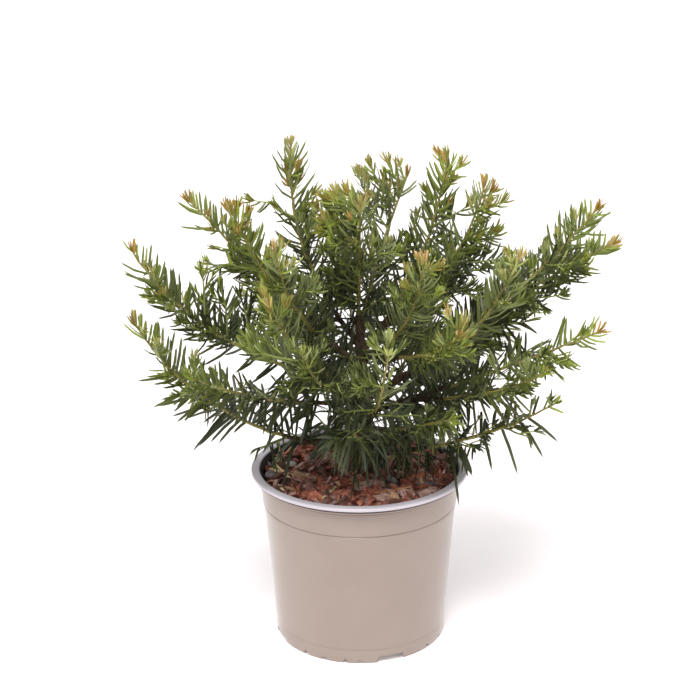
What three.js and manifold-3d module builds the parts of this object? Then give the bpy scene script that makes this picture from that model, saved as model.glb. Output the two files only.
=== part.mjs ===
// Potted yew: a bushy young shrub with flat needles, growing in a round nursery pot full of bark.
// Millimetres, +Z up. The origin is the middle of the pot's flat underside, and the front is -Y.
import * as THREE from 'three';
import { mergeVertices } from 'three/addons/utils/BufferGeometryUtils.js';
import Module from 'manifold-3d';

const wasm = await Module();
wasm.setup();

// Clearance between neighbouring solids.
const gap = 0.3;

// Pot: a 19 cm grower's pot, 153.5 mm tall. Radii are those of its outer face.
const potSides = 26;
const potWall = 1.6;
const rim = { radius: 95, innerRadius: 88.4, top: 153.5, bottom: 149, round: 1.6 };
const collar = { topRadius: 87.4, topHeight: 147.5, footRadius: 85.2, footHeight: 121 };
const wall = { topRadius: 83.4, topHeight: 115, footRadius: 75.6, footHeight: 10 };
const foot = { radius: 75, innerRadius: 72.4, round: 1.6, channelHeight: 5, floor: 2.4 };
const pad = { radius: 52, slope: 1.2 };

// Cut-outs of the foot ring: four wide ones, each with a small round-topped one on both sides.
const notches = {
  count: 4, bearing: -70, width: 22.5, narrow: 4, height: 5.4, smallOffset: 30.5, smallRadius: 2.1,
};
const drains = { count: 8, ring: 63, radius: 4.5, sides: 6 };

// Bark fill: slightly heaped towards the stem.
const fill = { edgeHeight: 140, crownHeight: 144, crownRadius: 14 };

// Trunk: from the flat cut on the bark to the tip that carries the middle shoot.
const trunk = { flareRadius: 10.5, flareShare: 0.16, footRadius: 6.6, tipRadius: 3.2, sides: 8, steps: 7 };
const trunkFoot = new THREE.Vector3(6, 6, fill.crownHeight + gap);
const trunkBend = new THREE.Vector3(6, 6, 217);
const trunkTip = new THREE.Vector3(0, 2, 290);

// Boughs: the first order grows on the trunk and the second order on another bough.
const bough = { trunkBorn: 3.1, boughBorn: 2.5, tipRadius: 1.9, sides: 5, steps: 2 };

// Foliage: a leading twig with single needles, side sprays and a spray at its tip. A spray is a toothed blade,
// each tooth a needle. Needles are larger than life, as there are fewer of them.
const leader = { baseRadius: 2.0, tipRadius: 1.1, steps: 3, endShare: 0.93 };
const needle = { length: 32, width: 5.4, thickness: 1, widest: 0.36, thickest: 0.24, spacing: 30 };
const needleLean = { base: 58, tip: 36 };
const spray = { angle: 50, thickness: 0.9, core: 0.9, toothSpacing: 11.8, toothLean: 52, toothLength: 29 };
const sprayRoll = { least: 28, most: 62 };
const sprayPlaces = [0.02, 0.2, 0.38, 0.56];
const sprayLength = { share: 0.36, shortest: 24, longest: 50, tip: 40 };
const goldenAngle = 137.508;

// Camera's view that the tips' columns and rows are picked in, 700 pixels wide and high: its lens in front of
// the pot's axis and above the ground, its pitch, its focal length in pixels, and the middle of the view.
const view = { distance: 1300, height: 695.06, pitch: 18.48, focal: 1599.53, column: 360.35, row: 350 };

// Shoots, each a bough with the foliage at its end. "on" is the limb it grows from: "from" is the height at
// which it leaves the trunk, and "at" the share of another bough's length at which it leaves that. Column,
// row and depth behind the pot's axis give its furthest tip. "out" and "up" are the shares of the way to the
// tip at which its bend lies, and "leafy" is where its foliage starts.
const shoots = [
  { name: 'middle', on: 'trunk', from: trunkTip.z, column: 363, row: 200, depth: -66,
    out: 0.35, up: 0.55, leafy: 0.0085 },
  { name: 'left', on: 'trunk', from: 226, column: 129, row: 242, depth: -20,
    out: 0.72, up: 0.24, leafy: 0.24 },
  { name: 'left_low', on: 'trunk', from: 165, column: 131, row: 311, depth: -70,
    out: 0.77, up: 0.26, leafy: 0.24 },
  { name: 'left_front', on: 'trunk', from: 212, column: 186, row: 373, depth: -120,
    out: 0.62, up: 0.3, leafy: 0.25 },
  { name: 'left_upper', on: 'trunk', from: 237, column: 187, row: 195, depth: 20,
    out: 0.58, up: 0.56, leafy: 0.2 },
  { name: 'left_high', on: 'trunk', from: 245, column: 233, row: 204, depth: -30,
    out: 0.72, up: 0.36, leafy: 0.25 },
  { name: 'tall_left', on: 'trunk', from: 263, column: 295, row: 136, depth: 20,
    out: 1.2, up: 0.42, leafy: 0.2 },
  { name: 'left_crest', on: 'left_high', at: 0.16, column: 276, row: 244, depth: -90,
    out: 0.85, up: 0.45, leafy: 0.22 },
  { name: 'front_left', on: 'trunk', from: 221, column: 269, row: 302, depth: -135,
    out: 0.7, up: 0.42, leafy: 0.26 },
  { name: 'front_left_low', on: 'front_left', at: 0.13, column: 301, row: 350, depth: -155,
    out: 0.62, up: 0.22, leafy: 0.22 },
  { name: 'back_high', on: 'trunk', from: 276, column: 412, row: 171, depth: 50,
    out: 0.38, up: 0.56, leafy: 0.2 },
  { name: 'tall_right', on: 'trunk', from: 257, column: 451, row: 150, depth: 10,
    out: 0.85, up: 0.42, leafy: 0.24 },
  { name: 'right_high', on: 'tall_right', at: 0.15, column: 489, row: 180, depth: -10,
    out: 0.8, up: 0.38, leafy: 0.2 },
  { name: 'right_upper', on: 'trunk', from: 213, column: 607, row: 202, depth: 0,
    out: 0.6, up: 0.42, leafy: 0.36 },
  { name: 'right', on: 'right_upper', at: 0.26, column: 621, row: 243, depth: 30,
    out: 0.5, up: 0.64, leafy: 0.3 },
  { name: 'right_inner', on: 'right_upper', at: 0.14, column: 521, row: 254, depth: -60,
    out: 0.8, up: 0.4, leafy: 0.22 },
  { name: 'front_right_crest', on: 'trunk', from: 250, column: 428, row: 258, depth: -115,
    out: 0.85, up: 0.4, leafy: 0.24 },
  { name: 'front_right', on: 'front_right_crest', at: 0.14, column: 463, row: 332, depth: -150,
    out: 0.75, up: 0.36, leafy: 0.2 },
  { name: 'front', on: 'trunk', from: 192, column: 391, row: 350, depth: -160,
    out: 0.7, up: 0.4, leafy: 0.26 },
  { name: 'right_low', on: 'trunk', from: 201, column: 608, row: 330, depth: -40,
    out: 0.55, up: 0.48, leafy: 0.3 },
  { name: 'right_front', on: 'right_low', at: 0.18, column: 549, row: 372, depth: -105,
    out: 0.62, up: 0.34, leafy: 0.2 },
  { name: 'right_bottom', on: 'trunk', from: 162, column: 563, row: 401, depth: -70,
    out: 0.6, up: 0.3, leafy: 0.28 },
  { name: 'front_right_low', on: 'trunk', from: 181, column: 456, row: 420, depth: -120,
    out: 0.55, up: 0.55, leafy: 0.2 },
  { name: 'front_low', on: 'trunk', from: 171, column: 352, row: 430, depth: -110,
    out: 0.62, up: 0.55, leafy: 0.28 },
  { name: 'back_left', on: 'trunk', from: 205, column: 250, row: 250, depth: 130,
    out: 0.66, up: 0.36, leafy: 0.26 },
  { name: 'back', on: 'trunk', from: 230, column: 345, row: 238, depth: 165,
    out: 0.7, up: 0.36, leafy: 0.24 },
  { name: 'back_right', on: 'trunk', from: 189, column: 455, row: 244, depth: 140,
    out: 0.66, up: 0.36, leafy: 0.28 },
  { name: 'right_back', on: 'back_right', at: 0.16, column: 545, row: 272, depth: 95,
    out: 0.66, up: 0.36, leafy: 0.2 },
  { name: 'back_low', on: 'trunk', from: 169, column: 380, row: 330, depth: 150,
    out: 0.66, up: 0.4, leafy: 0.28 },
];

// Colours and gloss.
const finish = {
  pot: new THREE.MeshStandardMaterial({ color: 0xb4a79c, roughness: 0.55, metalness: 0 }),
  bark: new THREE.MeshStandardMaterial({ color: 0x5a2e22, roughness: 0.95, metalness: 0 }),
  wood: new THREE.MeshStandardMaterial({ color: 0x6b3d22, roughness: 0.85, metalness: 0 }),
  leaf: new THREE.MeshStandardMaterial({ color: 0x4c6b35, roughness: 0.5, metalness: 0 }),
};

const radians = THREE.MathUtils.degToRad;
const mix = THREE.MathUtils.lerp;

// A number from 0 to 1 that depends only on the shoot, the item on it and the use it is drawn for.
function chance(shoot, item, use) {
  let n = Math.imul(shoot + 1, 374761393) ^ Math.imul(item + 1, 668265263) ^ Math.imul(use + 1, 2246822519);
  n = Math.imul(n ^ (n >>> 13), 1274126177);
  n ^= n >>> 16;
  return (n >>> 0) / 4294967296;
}

// A closed geometry as a solid, without the faces that shrink to nothing on an axis.
function toSolid(geometry) {
  geometry.deleteAttribute('normal');
  geometry.deleteAttribute('uv');
  const merged = mergeVertices(geometry, 1e-4);
  const corners = merged.index.array;
  const faces = [];
  for (let i = 0; i < corners.length; i += 3) {
    const [a, b, c] = corners.slice(i, i + 3);
    if (a !== b && b !== c && c !== a) faces.push(a, b, c);
  }
  const vertProperties = new Float32Array(merged.attributes.position.array);
  return new wasm.Manifold(new wasm.Mesh({ numProp: 3, vertProperties, triVerts: new Uint32Array(faces) }));
}

function toGeometry(solid) {
  const mesh = solid.getMesh();
  const geometry = new THREE.BufferGeometry();
  geometry.setAttribute('position', new THREE.BufferAttribute(mesh.vertProperties, 3));
  geometry.setIndex(new THREE.BufferAttribute(mesh.triVerts, 1));
  return geometry;
}

// The largest closed body of a solid: drops loose scraps and fills sealed hollows.
function mainBody(solid) {
  return solid.decompose().reduce((best, piece) => (piece.volume() > best.volume() ? piece : best));
}

function turned(outline) {
  const geometry = new THREE.LatheGeometry(outline.map(([r, z]) => new THREE.Vector2(r, z)), potSides);
  return geometry.rotateX(Math.PI / 2);
}

// Inner face of the pot at a height, for the stretch that the bark fills.
function innerRadius(height) {
  const share = (height - wall.topHeight) / (collar.topHeight - wall.topHeight);
  return mix(wall.topRadius, collar.topRadius, share) - potWall;
}

function potShell() {
  const outside = [
    [0, 0],
    [pad.radius, 0],
    [pad.radius + pad.slope, foot.channelHeight],
    [foot.innerRadius, foot.channelHeight],
    [foot.innerRadius, 0],
    [foot.radius - foot.round, 0],
    [foot.radius, foot.round],
    [wall.footRadius, wall.footHeight],
    [wall.topRadius, wall.topHeight],
    [collar.footRadius, collar.footHeight],
    [collar.topRadius, collar.topHeight],
    [rim.innerRadius, rim.bottom],
    [rim.radius - rim.round / 2, rim.bottom],
    [rim.radius, rim.bottom + rim.round],
    [rim.radius - rim.round, rim.top],
    [rim.innerRadius + rim.round / 2, rim.top],
    [rim.innerRadius, rim.top - rim.round / 2],
  ];
  const inside = [
    [collar.topRadius - potWall, collar.topHeight],
    [wall.topRadius - potWall, wall.topHeight],
    [foot.radius - potWall, foot.channelHeight + foot.floor],
    [pad.radius + pad.slope + foot.floor, foot.channelHeight + foot.floor],
    [pad.radius, foot.floor],
    [0, foot.floor],
  ];
  return toSolid(turned([...outside, ...inside]));
}

// A tool that reaches through the foot ring at a bearing, from an outline of half-width and height.
function footCutter(outline, bearing) {
  const depth = 12;
  const shape = new THREE.Shape(outline.map(([x, z]) => new THREE.Vector2(x, z)));
  const geometry = new THREE.ExtrudeGeometry(shape, { depth, bevelEnabled: false });
  geometry.rotateX(Math.PI / 2);
  geometry.translate(0, -(foot.innerRadius - depth / 4), 0);
  geometry.rotateZ(radians(bearing + 90));
  return toSolid(geometry);
}

function wideNotch() {
  const half = notches.width / 2;
  return [[-half, -1], [half, -1], [half, 0], [half - notches.narrow / 2, notches.height],
    [-half + notches.narrow / 2, notches.height], [-half, 0]];
}

function roundNotch() {
  const outline = [[-notches.smallRadius, -1], [notches.smallRadius, -1]];
  const corners = 4;
  for (let i = 0; i <= corners; i += 1) {
    const angle = (Math.PI * i) / corners;
    outline.push([notches.smallRadius * Math.cos(angle), notches.smallRadius * Math.sin(angle)]);
  }
  return outline;
}

function makePot() {
  let solid = potShell();
  const step = 360 / notches.count;
  for (let i = 0; i < notches.count; i += 1) {
    const bearing = notches.bearing + i * step;
    solid = solid.subtract(footCutter(wideNotch(), bearing));
    solid = solid.subtract(footCutter(roundNotch(), bearing - notches.smallOffset));
    solid = solid.subtract(footCutter(roundNotch(), bearing + notches.smallOffset));
  }
  for (let i = 0; i < drains.count; i += 1) {
    const angle = radians(notches.bearing + (i * 360) / drains.count);
    const hole = new THREE.CylinderGeometry(drains.radius, drains.radius, 4 * foot.floor, drains.sides);
    hole.rotateX(Math.PI / 2);
    const height = foot.channelHeight + foot.floor / 2;
    hole.translate(drains.ring * Math.cos(angle), drains.ring * Math.sin(angle), height);
    solid = solid.subtract(toSolid(hole));
  }
  return solid;
}

function makeFill() {
  const low = foot.floor + gap;
  const ledge = foot.channelHeight + foot.floor + gap;
  return toSolid(turned([
    [0, low],
    [pad.radius - gap, low],
    [pad.radius + pad.slope + foot.floor - gap, ledge],
    [foot.radius - potWall - gap, ledge],
    [wall.topRadius - potWall - gap, wall.topHeight],
    [innerRadius(fill.edgeHeight) - gap, fill.edgeHeight],
    [fill.crownRadius, fill.crownHeight],
    [0, fill.crownHeight],
  ]));
}

// Frame of a path at a share of its length: the point, the way along, and two square directions.
function frameAt(path, share) {
  const point = path.curve.getPoint(share);
  const along = path.curve.getTangent(share);
  const side = path.side.clone().addScaledVector(along, -path.side.dot(along)).normalize();
  return { point, along, side, over: new THREE.Vector3().crossVectors(side, along) };
}

// A round limb along a path, from one share to another, with its radius given by a function of its own length.
function limbSolid(path, from, to, radiusAt, sides, steps) {
  const geometry = new THREE.CylinderGeometry(1, 1, 1, sides, steps);
  const position = geometry.attributes.position;
  for (let i = 0; i < position.count; i += 1) {
    const share = position.getY(i) + 0.5;
    const radius = radiusAt(share);
    const { point, side, over } = frameAt(path, mix(from, to, share));
    point.addScaledVector(side, radius * position.getX(i)).addScaledVector(over, radius * position.getZ(i));
    position.setXYZ(i, point.x, point.y, point.z);
  }
  return toSolid(geometry);
}

function pathThrough(start, bend, end) {
  const side = new THREE.Vector3(start.y - end.y, end.x - start.x, 0);
  if (side.length() < 1) side.set(0, 1, 0);
  return { curve: new THREE.QuadraticBezierCurve3(start, bend, end), side: side.normalize() };
}

function trunkRadius(share) {
  const flare = Math.max(0, 1 - share / trunk.flareShare) ** 2;
  return mix(trunk.footRadius, trunk.tipRadius, share) + flare * (trunk.flareRadius - trunk.footRadius);
}

const stem = {
  path: pathThrough(trunkFoot, trunkBend, trunkTip),
  radiusAt: trunkRadius,
  woodEnd: 1,
  sides: trunk.sides,
  steps: trunk.steps,
};

// Share of the trunk at a height, to a thousandth.
function trunkShare(height) {
  const share = (height - trunkFoot.z) / (trunkTip.z - trunkFoot.z);
  return Math.round(share * 1000) / 1000;
}

// A shoot's furthest tip, from where it shows and its depth, to whole degrees and millimetres.
function tipOf(shoot) {
  const pitch = radians(view.pitch);
  const slope = (view.row - shoot.row) / view.focal;
  const away = shoot.depth + view.distance;
  const steepness = (slope * Math.cos(pitch) - Math.sin(pitch)) / (Math.cos(pitch) + slope * Math.sin(pitch));
  const rise = away * steepness;
  const forward = away * Math.cos(pitch) - rise * Math.sin(pitch);
  const across = ((shoot.column - view.column) * forward) / view.focal;
  const reach = Math.round(Math.hypot(across, shoot.depth));
  const turn = THREE.MathUtils.radToDeg(Math.atan2(shoot.depth, across));
  const bearing = radians(Math.round(THREE.MathUtils.euclideanModulo(turn, 360)));
  const height = Math.round(view.height + rise);
  return new THREE.Vector3(reach * Math.cos(bearing), reach * Math.sin(bearing), height);
}

// Paths of all shoots, and the radius of each bough at a share of the shoot.
for (const shoot of shoots) {
  shoot.parent = shoots.find((other) => other.name === shoot.on) ?? stem;
  shoot.at ??= trunkShare(shoot.from);
  const start = shoot.parent.path.curve.getPoint(shoot.at);
  const end = tipOf(shoot);
  const way = end.clone().sub(start);
  const bend = start.clone().add(new THREE.Vector3(way.x * shoot.out, way.y * shoot.out, way.z * shoot.up));
  const born = shoot.parent === stem ? bough.trunkBorn : bough.boughBorn;
  shoot.path = pathThrough(start, bend, end);
  shoot.length = shoot.path.curve.getLength();
  shoot.axis = samples(shoot.path, shoot.leafy, 1, 12);
  shoot.radiusAt = (share) => mix(born, bough.tipRadius, Math.min(1, share / shoot.leafy));
  shoot.woodEnd = shoot.leafy - gap / shoot.length;
  shoot.sides = bough.sides;
  shoot.steps = bough.steps;
}

// The trunk or a bough, with a margin all round where it is used as the room that it takes.
function woodOf(limb, margin = 0) {
  const grown = margin / Math.cos(Math.PI / limb.sides);
  const radiusAt = (share) => limb.radiusAt(share * limb.woodEnd) + grown;
  return limbSolid(limb.path, 0, limb.woodEnd, radiusAt, limb.sides, limb.steps);
}

function samples(path, from, to, count) {
  return Array.from({ length: count + 1 }, (unused, i) => path.curve.getPoint(mix(from, to, i / count)));
}

const segment = new THREE.Line3();
const nearest = new THREE.Vector3();

function distanceTo(line, point) {
  let least = Infinity;
  for (let i = 1; i < line.length; i += 1) {
    segment.set(line[i - 1], line[i]).closestPointToPoint(point, true, nearest);
    least = Math.min(least, nearest.distanceTo(point));
  }
  return least;
}

const hasBough = (shoot) => shoot.at < 1;

const limbs = shoots.filter(hasBough).map((shoot) => ({
  line: samples(shoot.path, 0, shoot.leafy, 8),
  radius: bough.trunkBorn,
}));
limbs.push({ line: samples(stem.path, 0, 1, 10), radius: trunk.footRadius });

// Room over the pot: above the bark inside the rim, above the rim over it, and free outside.
function clearOfPot(point, halfWidth) {
  const radius = Math.hypot(point.x, point.y);
  const inside = innerRadius(fill.edgeHeight) - 2 * halfWidth;
  if (radius < inside) return point.z > fill.crownHeight + halfWidth;
  return radius > rim.radius + 2 * halfWidth || point.z > rim.top + halfWidth;
}

// True if a line of points stays in its own shoot's space: nearer to that shoot's leading twig than to any
// other's, and clear of the limbs, the bark and the pot.
function keepsToSpace(shoot, points, halfWidth) {
  return points.every((point) => {
    const own = distanceTo(shoot.axis, point);
    const room = own + 2 * halfWidth;
    const apart = shoots.every((other) => other === shoot || distanceTo(other.axis, point) > room);
    return apart && clearOfPot(point, halfWidth)
      && limbs.every((limb) => distanceTo(limb.line, point) > limb.radius + halfWidth);
  });
}

// A direction that leans from a path by an angle, turned about it. On a level path the turn is flattened,
// so that twigs and needles lie in two ranks, and on an upright path they stand all round.
function leaning(frame, lean, turn) {
  const level = Math.hypot(frame.along.x, frame.along.y);
  const lift = mix(1, 0.4, level);
  const square = frame.side.clone().multiplyScalar(Math.cos(turn));
  square.addScaledVector(frame.over, lift * Math.sin(turn));
  return frame.along.clone().multiplyScalar(Math.cos(lean)).addScaledVector(square.normalize(), Math.sin(lean));
}

// One flat needle of eight faces, with its root on a twig's middle line.
function needleSolid(root, direction, along, length) {
  const geometry = new THREE.OctahedronGeometry(1);
  const position = geometry.attributes.position;
  const wide = along.clone().addScaledVector(direction, -along.dot(direction)).normalize();
  const thick = new THREE.Vector3().crossVectors(direction, wide);
  for (let i = 0; i < position.count; i += 1) {
    const [x, y, z] = [position.getX(i), position.getY(i), position.getZ(i)];
    const place = x > 0.5 ? 1 : x < -0.5 ? 0 : Math.abs(y) > 0.5 ? needle.widest : needle.thickest;
    const point = root.clone().addScaledVector(direction, place * length);
    point.addScaledVector(wide, (y * needle.width) / 2).addScaledVector(thick, (z * needle.thickness) / 2);
    position.setXYZ(i, point.x, point.y, point.z);
  }
  return toSolid(geometry);
}

// Single needles along the leading twig.
function leaderNeedles(shoot, number, to) {
  const count = Math.round((shoot.length * (to - shoot.leafy)) / needle.spacing);
  const solids = [];
  for (let i = 0; i < count; i += 1) {
    const share = (i + 0.4) / count;
    const frame = frameAt(shoot.path, mix(shoot.leafy, to, share));
    const lean = radians(mix(needleLean.base, needleLean.tip, share));
    const way = leaning(frame, lean, radians(i * goldenAngle + 40 * chance(number, i, 2)));
    const size = needle.length * mix(1, 0.8, share) * mix(0.9, 1.1, chance(number, i, 3));
    const points = [0.3, 0.5, 0.75, 1].map((part) => frame.point.clone().addScaledVector(way, part * size));
    if (keepsToSpace(shoot, points, needle.width / 2 + gap)) {
      solids.push(needleSolid(frame.point, way, frame.along, size));
    }
  }
  return solids;
}

// A point of a blade that runs along a path: how far along, how far across and how far off its face.
function onBlade(blade, x, y, z) {
  const frame = frameAt(blade.path, THREE.MathUtils.clamp(x / blade.length, 0, 1));
  const across = blade.across.clone().addScaledVector(frame.along, -blade.across.dot(frame.along)).normalize();
  const face = new THREE.Vector3().crossVectors(frame.along, across);
  const past = Math.max(0, x - blade.length);
  return frame.point.addScaledVector(frame.along, past).addScaledVector(across, y).addScaledVector(face, z);
}

// A toothed blade. A tooth that would leave the shoot's space is left out.
function bladeSolid(shoot, blade) {
  const count = Math.max(3, Math.round(blade.length / spray.toothSpacing));
  const step = blade.length / (count + 0.6);
  const lean = radians(spray.toothLean);
  const edge = (hand) => {
    const outline = [];
    for (let i = 0; i < count; i += 1) {
      const root = (i + 0.5 * (hand > 0) + 0.3) * step;
      const length = spray.toothLength * mix(1, 0.68, i / count);
      const tip = [root + length * Math.cos(lean), length * Math.sin(lean)];
      const along = (part) => onBlade(blade, mix(root, tip[0], part), hand * part * tip[1], 0);
      const points = [0.5, 0.8, 1].map(along);
      outline.push([root, hand * spray.core]);
      if (keepsToSpace(shoot, points, spray.toothSpacing / 4)) outline.push([tip[0], hand * tip[1]]);
    }
    outline.push([(count + 0.5 * (hand > 0) + 0.1) * step, hand * spray.core]);
    return outline;
  };
  const point = [blade.length + 0.5 * spray.toothLength, 0];
  const outline = [[0, -spray.core], ...edge(-1), point, ...edge(1).reverse(), [0, spray.core]];
  const shape = new THREE.Shape(outline.map(([x, y]) => new THREE.Vector2(x, y)));
  const geometry = new THREE.ExtrudeGeometry(shape, { depth: spray.thickness, bevelEnabled: false });
  const position = geometry.attributes.position;
  for (let i = 0; i < position.count; i += 1) {
    const place = onBlade(blade, position.getX(i), position.getY(i), position.getZ(i) - spray.thickness / 2);
    position.setXYZ(i, place.x, place.y, place.z);
  }
  return toSolid(geometry);
}

// The level direction square to a twig, rolled about the twig to one side or the other by a drawn angle.
function acrossTwig(way, drawn) {
  const level = new THREE.Vector3(way.y, -way.x, 0).normalize();
  const hand = drawn < 0.5 ? -1 : 1;
  const roll = mix(sprayRoll.least, sprayRoll.most, Math.abs(2 * drawn - 1));
  return level.applyAxisAngle(way, hand * radians(roll));
}

// Side sprays of a shoot, bending forward: in turn left and right on a level shoot, and all round on an
// upright one.
function sideSprays(shoot, number) {
  const leafyLength = shoot.length * (1 - shoot.leafy);
  const solids = [];
  sprayPlaces.forEach((place, i) => {
    const frame = frameAt(shoot.path, mix(shoot.leafy, 1, place));
    const level = Math.hypot(frame.along.x, frame.along.y);
    const turn = radians(i * mix(goldenAngle, 180, level) + 60 * (chance(number, i, 0) - 0.5));
    const way = leaning(frame, radians(spray.angle), turn);
    const wish = leafyLength * sprayLength.share * (1 - 0.6 * place) * mix(0.85, 1.15, chance(number, i, 1));
    const length = THREE.MathUtils.clamp(wish, sprayLength.shortest, sprayLength.longest);
    const bend = frame.point.clone().addScaledVector(way, length / 2);
    const end = bend.clone().addScaledVector(way.clone().lerp(frame.along, 0.3).normalize(), length / 2);
    const path = pathThrough(frame.point, bend, end);
    if (keepsToSpace(shoot, samples(path, 0.4, 1, 4), spray.core + gap)) {
      solids.push(bladeSolid(shoot, { path, length, across: acrossTwig(way, chance(number, i, 4)) }));
    }
  });
  return solids;
}

function makeFoliage(shoot, number) {
  const taper = (share) => mix(leader.baseRadius, leader.tipRadius, share);
  const tipLength = sprayLength.tip;
  const tipStart = leader.endShare - tipLength / shoot.length;
  const tip = samples(shoot.path, tipStart, leader.endShare, 2);
  const across = acrossTwig(frameAt(shoot.path, tipStart).along, chance(number, 0, 5));
  const tipBlade = { path: pathThrough(...tip), length: tipLength, across };
  return mainBody(wasm.Manifold.union([
    limbSolid(shoot.path, shoot.leafy, tipStart + 0.03, taper, 3, leader.steps),
    ...leaderNeedles(shoot, number, tipStart),
    ...sideSprays(shoot, number),
    bladeSolid(shoot, tipBlade),
  ]));
}

const plant = new THREE.Group();

function add(name, solid, material) {
  const mesh = new THREE.Mesh(toGeometry(solid), material);
  mesh.name = name;
  plant.add(mesh);
}

add('pot', makePot(), finish.pot);
add('bark_fill', makeFill(), finish.bark);
add('trunk', woodOf(stem), finish.wood);
shoots.forEach((shoot, number) => {
  if (hasBough(shoot)) {
    const solid = mainBody(woodOf(shoot).subtract(woodOf(shoot.parent, gap)));
    add(`bough_${shoot.name}`, solid, finish.wood);
  }
  add(`foliage_${shoot.name}`, makeFoliage(shoot, number), finish.leaf);
});

export default plant;
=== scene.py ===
import math
import random

import bmesh
import bpy
import numpy as np
from mathutils import Matrix, Vector, noise


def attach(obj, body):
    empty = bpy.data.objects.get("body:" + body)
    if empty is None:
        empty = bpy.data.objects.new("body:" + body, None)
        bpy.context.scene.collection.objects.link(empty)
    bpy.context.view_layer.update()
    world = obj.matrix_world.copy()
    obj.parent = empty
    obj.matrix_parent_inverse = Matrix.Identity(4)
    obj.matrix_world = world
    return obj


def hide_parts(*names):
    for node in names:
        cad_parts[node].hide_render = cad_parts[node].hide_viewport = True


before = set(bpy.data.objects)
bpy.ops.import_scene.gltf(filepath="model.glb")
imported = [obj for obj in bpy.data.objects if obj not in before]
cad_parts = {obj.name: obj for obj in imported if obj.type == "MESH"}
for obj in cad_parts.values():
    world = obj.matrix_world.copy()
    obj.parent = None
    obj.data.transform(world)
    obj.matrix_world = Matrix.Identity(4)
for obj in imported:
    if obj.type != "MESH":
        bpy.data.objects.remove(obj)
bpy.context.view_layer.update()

# Potted yew: a bushy young shrub with flat needles in a taupe nursery pot full of bark chips.
# Sizes are millimetres here and become metres when a mesh is finished. +Z is up, and the front is -Y.
mm = 0.001
up = Vector((0, 0, 1))
random.seed(27)
noise.seed_set(27)


# Small helpers

def toLinear(code):  # sRGB hex to a linear colour with full alpha
    parts = [int(code[i:i + 2], 16) / 255 for i in (1, 3, 5)]
    return [c / 12.92 if c <= 0.04045 else ((c + 0.055) / 1.055) ** 2.4 for c in parts] + [1.0]


# Adds one node, with its settings or input values, and its links.
def addNode(material, kind, settings=None, links=None):
    node = material.node_tree.nodes.new(kind)
    for name, value in (settings or {}).items():
        if isinstance(name, str) and hasattr(node, name):
            setattr(node, name, value)
        else:
            node.inputs[name].default_value = value
    for name, output in (links or {}).items():
        material.node_tree.links.new(output, node.inputs[name])
    return node


def startMaterial(name, colour, roughness, settings=None):  # a Principled material
    material = bpy.data.materials.new(name)
    material.use_nodes = True
    values = {"Base Color": toLinear(colour), "Roughness": roughness, **(settings or {})}
    for key, value in values.items():
        shaderOf(material).inputs[key].default_value = value
    return material


def shaderOf(material):
    return material.node_tree.nodes["Principled BSDF"]


def objectPlace(material):
    return addNode(material, "ShaderNodeTexCoord").outputs["Object"]


def stretched(material, place, scale):
    return addNode(material, "ShaderNodeMapping", {"Scale": scale}, {"Vector": place}).outputs["Vector"]


def noiseOf(material, place, size, detail, roughness=0.5):  # a noise whose size is in millimetres
    settings = {"Scale": 1 / (size * mm), "Detail": detail, "Roughness": roughness}
    return addNode(material, "ShaderNodeTexNoise", settings, {"Vector": place}).outputs["Fac"]


def calculate(material, operation, values, links):  # values and node outputs, by the number of their input
    settings = {"operation": operation, **values}
    return addNode(material, "ShaderNodeMath", settings, links).outputs["Value"]


# Gives the base colour a ramp between two hex colours.
def paint(material, factor, dark, light, low=0.35, high=0.65):
    ramp = addNode(material, "ShaderNodeValToRGB", links={"Fac": factor})
    for element, place, colour in zip(ramp.color_ramp.elements, (low, high), (dark, light)):
        element.position = place
        element.color = toLinear(colour)
    material.node_tree.links.new(ramp.outputs["Color"], shaderOf(material).inputs["Base Color"])


def roughen(material, height, strength, depth):  # a bump whose depth is in millimetres
    settings = {"Strength": strength, "Distance": depth * mm}
    bump = addNode(material, "ShaderNodeBump", settings, {"Height": height})
    material.node_tree.links.new(bump.outputs["Normal"], shaderOf(material).inputs["Normal"])


# A finished piece that rides on the body and stands for nodes.
def makePiece(name, mesh, materials, nodes):
    piece = bpy.data.objects.new(name, mesh)
    bpy.context.scene.collection.objects.link(piece)
    for material in materials:
        piece.data.materials.append(material)
    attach(piece, "root")
    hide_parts(*nodes)


def finishBmesh(bm, name, smoothBelow=35):  # a bmesh in millimetres as a mesh in metres, sharp above an angle
    for face in bm.faces:
        face.smooth = True
    for edge in bm.edges:
        edge.smooth = len(edge.link_faces) == 2 and edge.calc_face_angle(0) < math.radians(smoothBelow)
    bmesh.ops.scale(bm, vec=(mm, mm, mm), verts=bm.verts)
    mesh = bpy.data.meshes.new(name)
    bm.to_mesh(mesh)
    bm.free()
    return mesh


def meshFromArrays(name, points, faces, materialIndex):  # points in millimetres, faces as quads and triangles
    mesh = bpy.data.meshes.new(name)
    mesh.from_pydata(points * mm, [], faces)
    mesh.polygons.foreach_set("material_index", np.asarray(materialIndex, dtype=np.int32))
    mesh.update()
    return mesh


def blend(a, b, share):
    return a + (b - a) * share


# Camera, light and floor

view = {
    "distance": 1300, "height": 695.06,  # mm in front of the pot's axis, and above the floor
    "pitch": 18.48, "pan": 0.33, "roll": -0.45,  # degrees down, to the left, and clockwise
    # pixels: width of the picture, focal length, and the middle that the picks are measured from
    "size": 700, "focal": 1599.53, "column": 360.35, "row": 350,
}


def makeCamera():
    data = bpy.data.cameras.new("camera")
    data.sensor_width = 36
    data.lens = view["focal"] * data.sensor_width / view["size"]
    camera = bpy.data.objects.new("camera", data)
    bpy.context.scene.collection.objects.link(camera)
    camera.location = Vector((0, -view["distance"], view["height"])) * mm
    camera.rotation_euler = (math.radians(90 - view["pitch"]), 0, math.radians(view["pan"]))
    camera.rotation_euler.rotate_axis("Z", math.radians(view["roll"]))
    bpy.context.scene.camera = camera
    return camera


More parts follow.
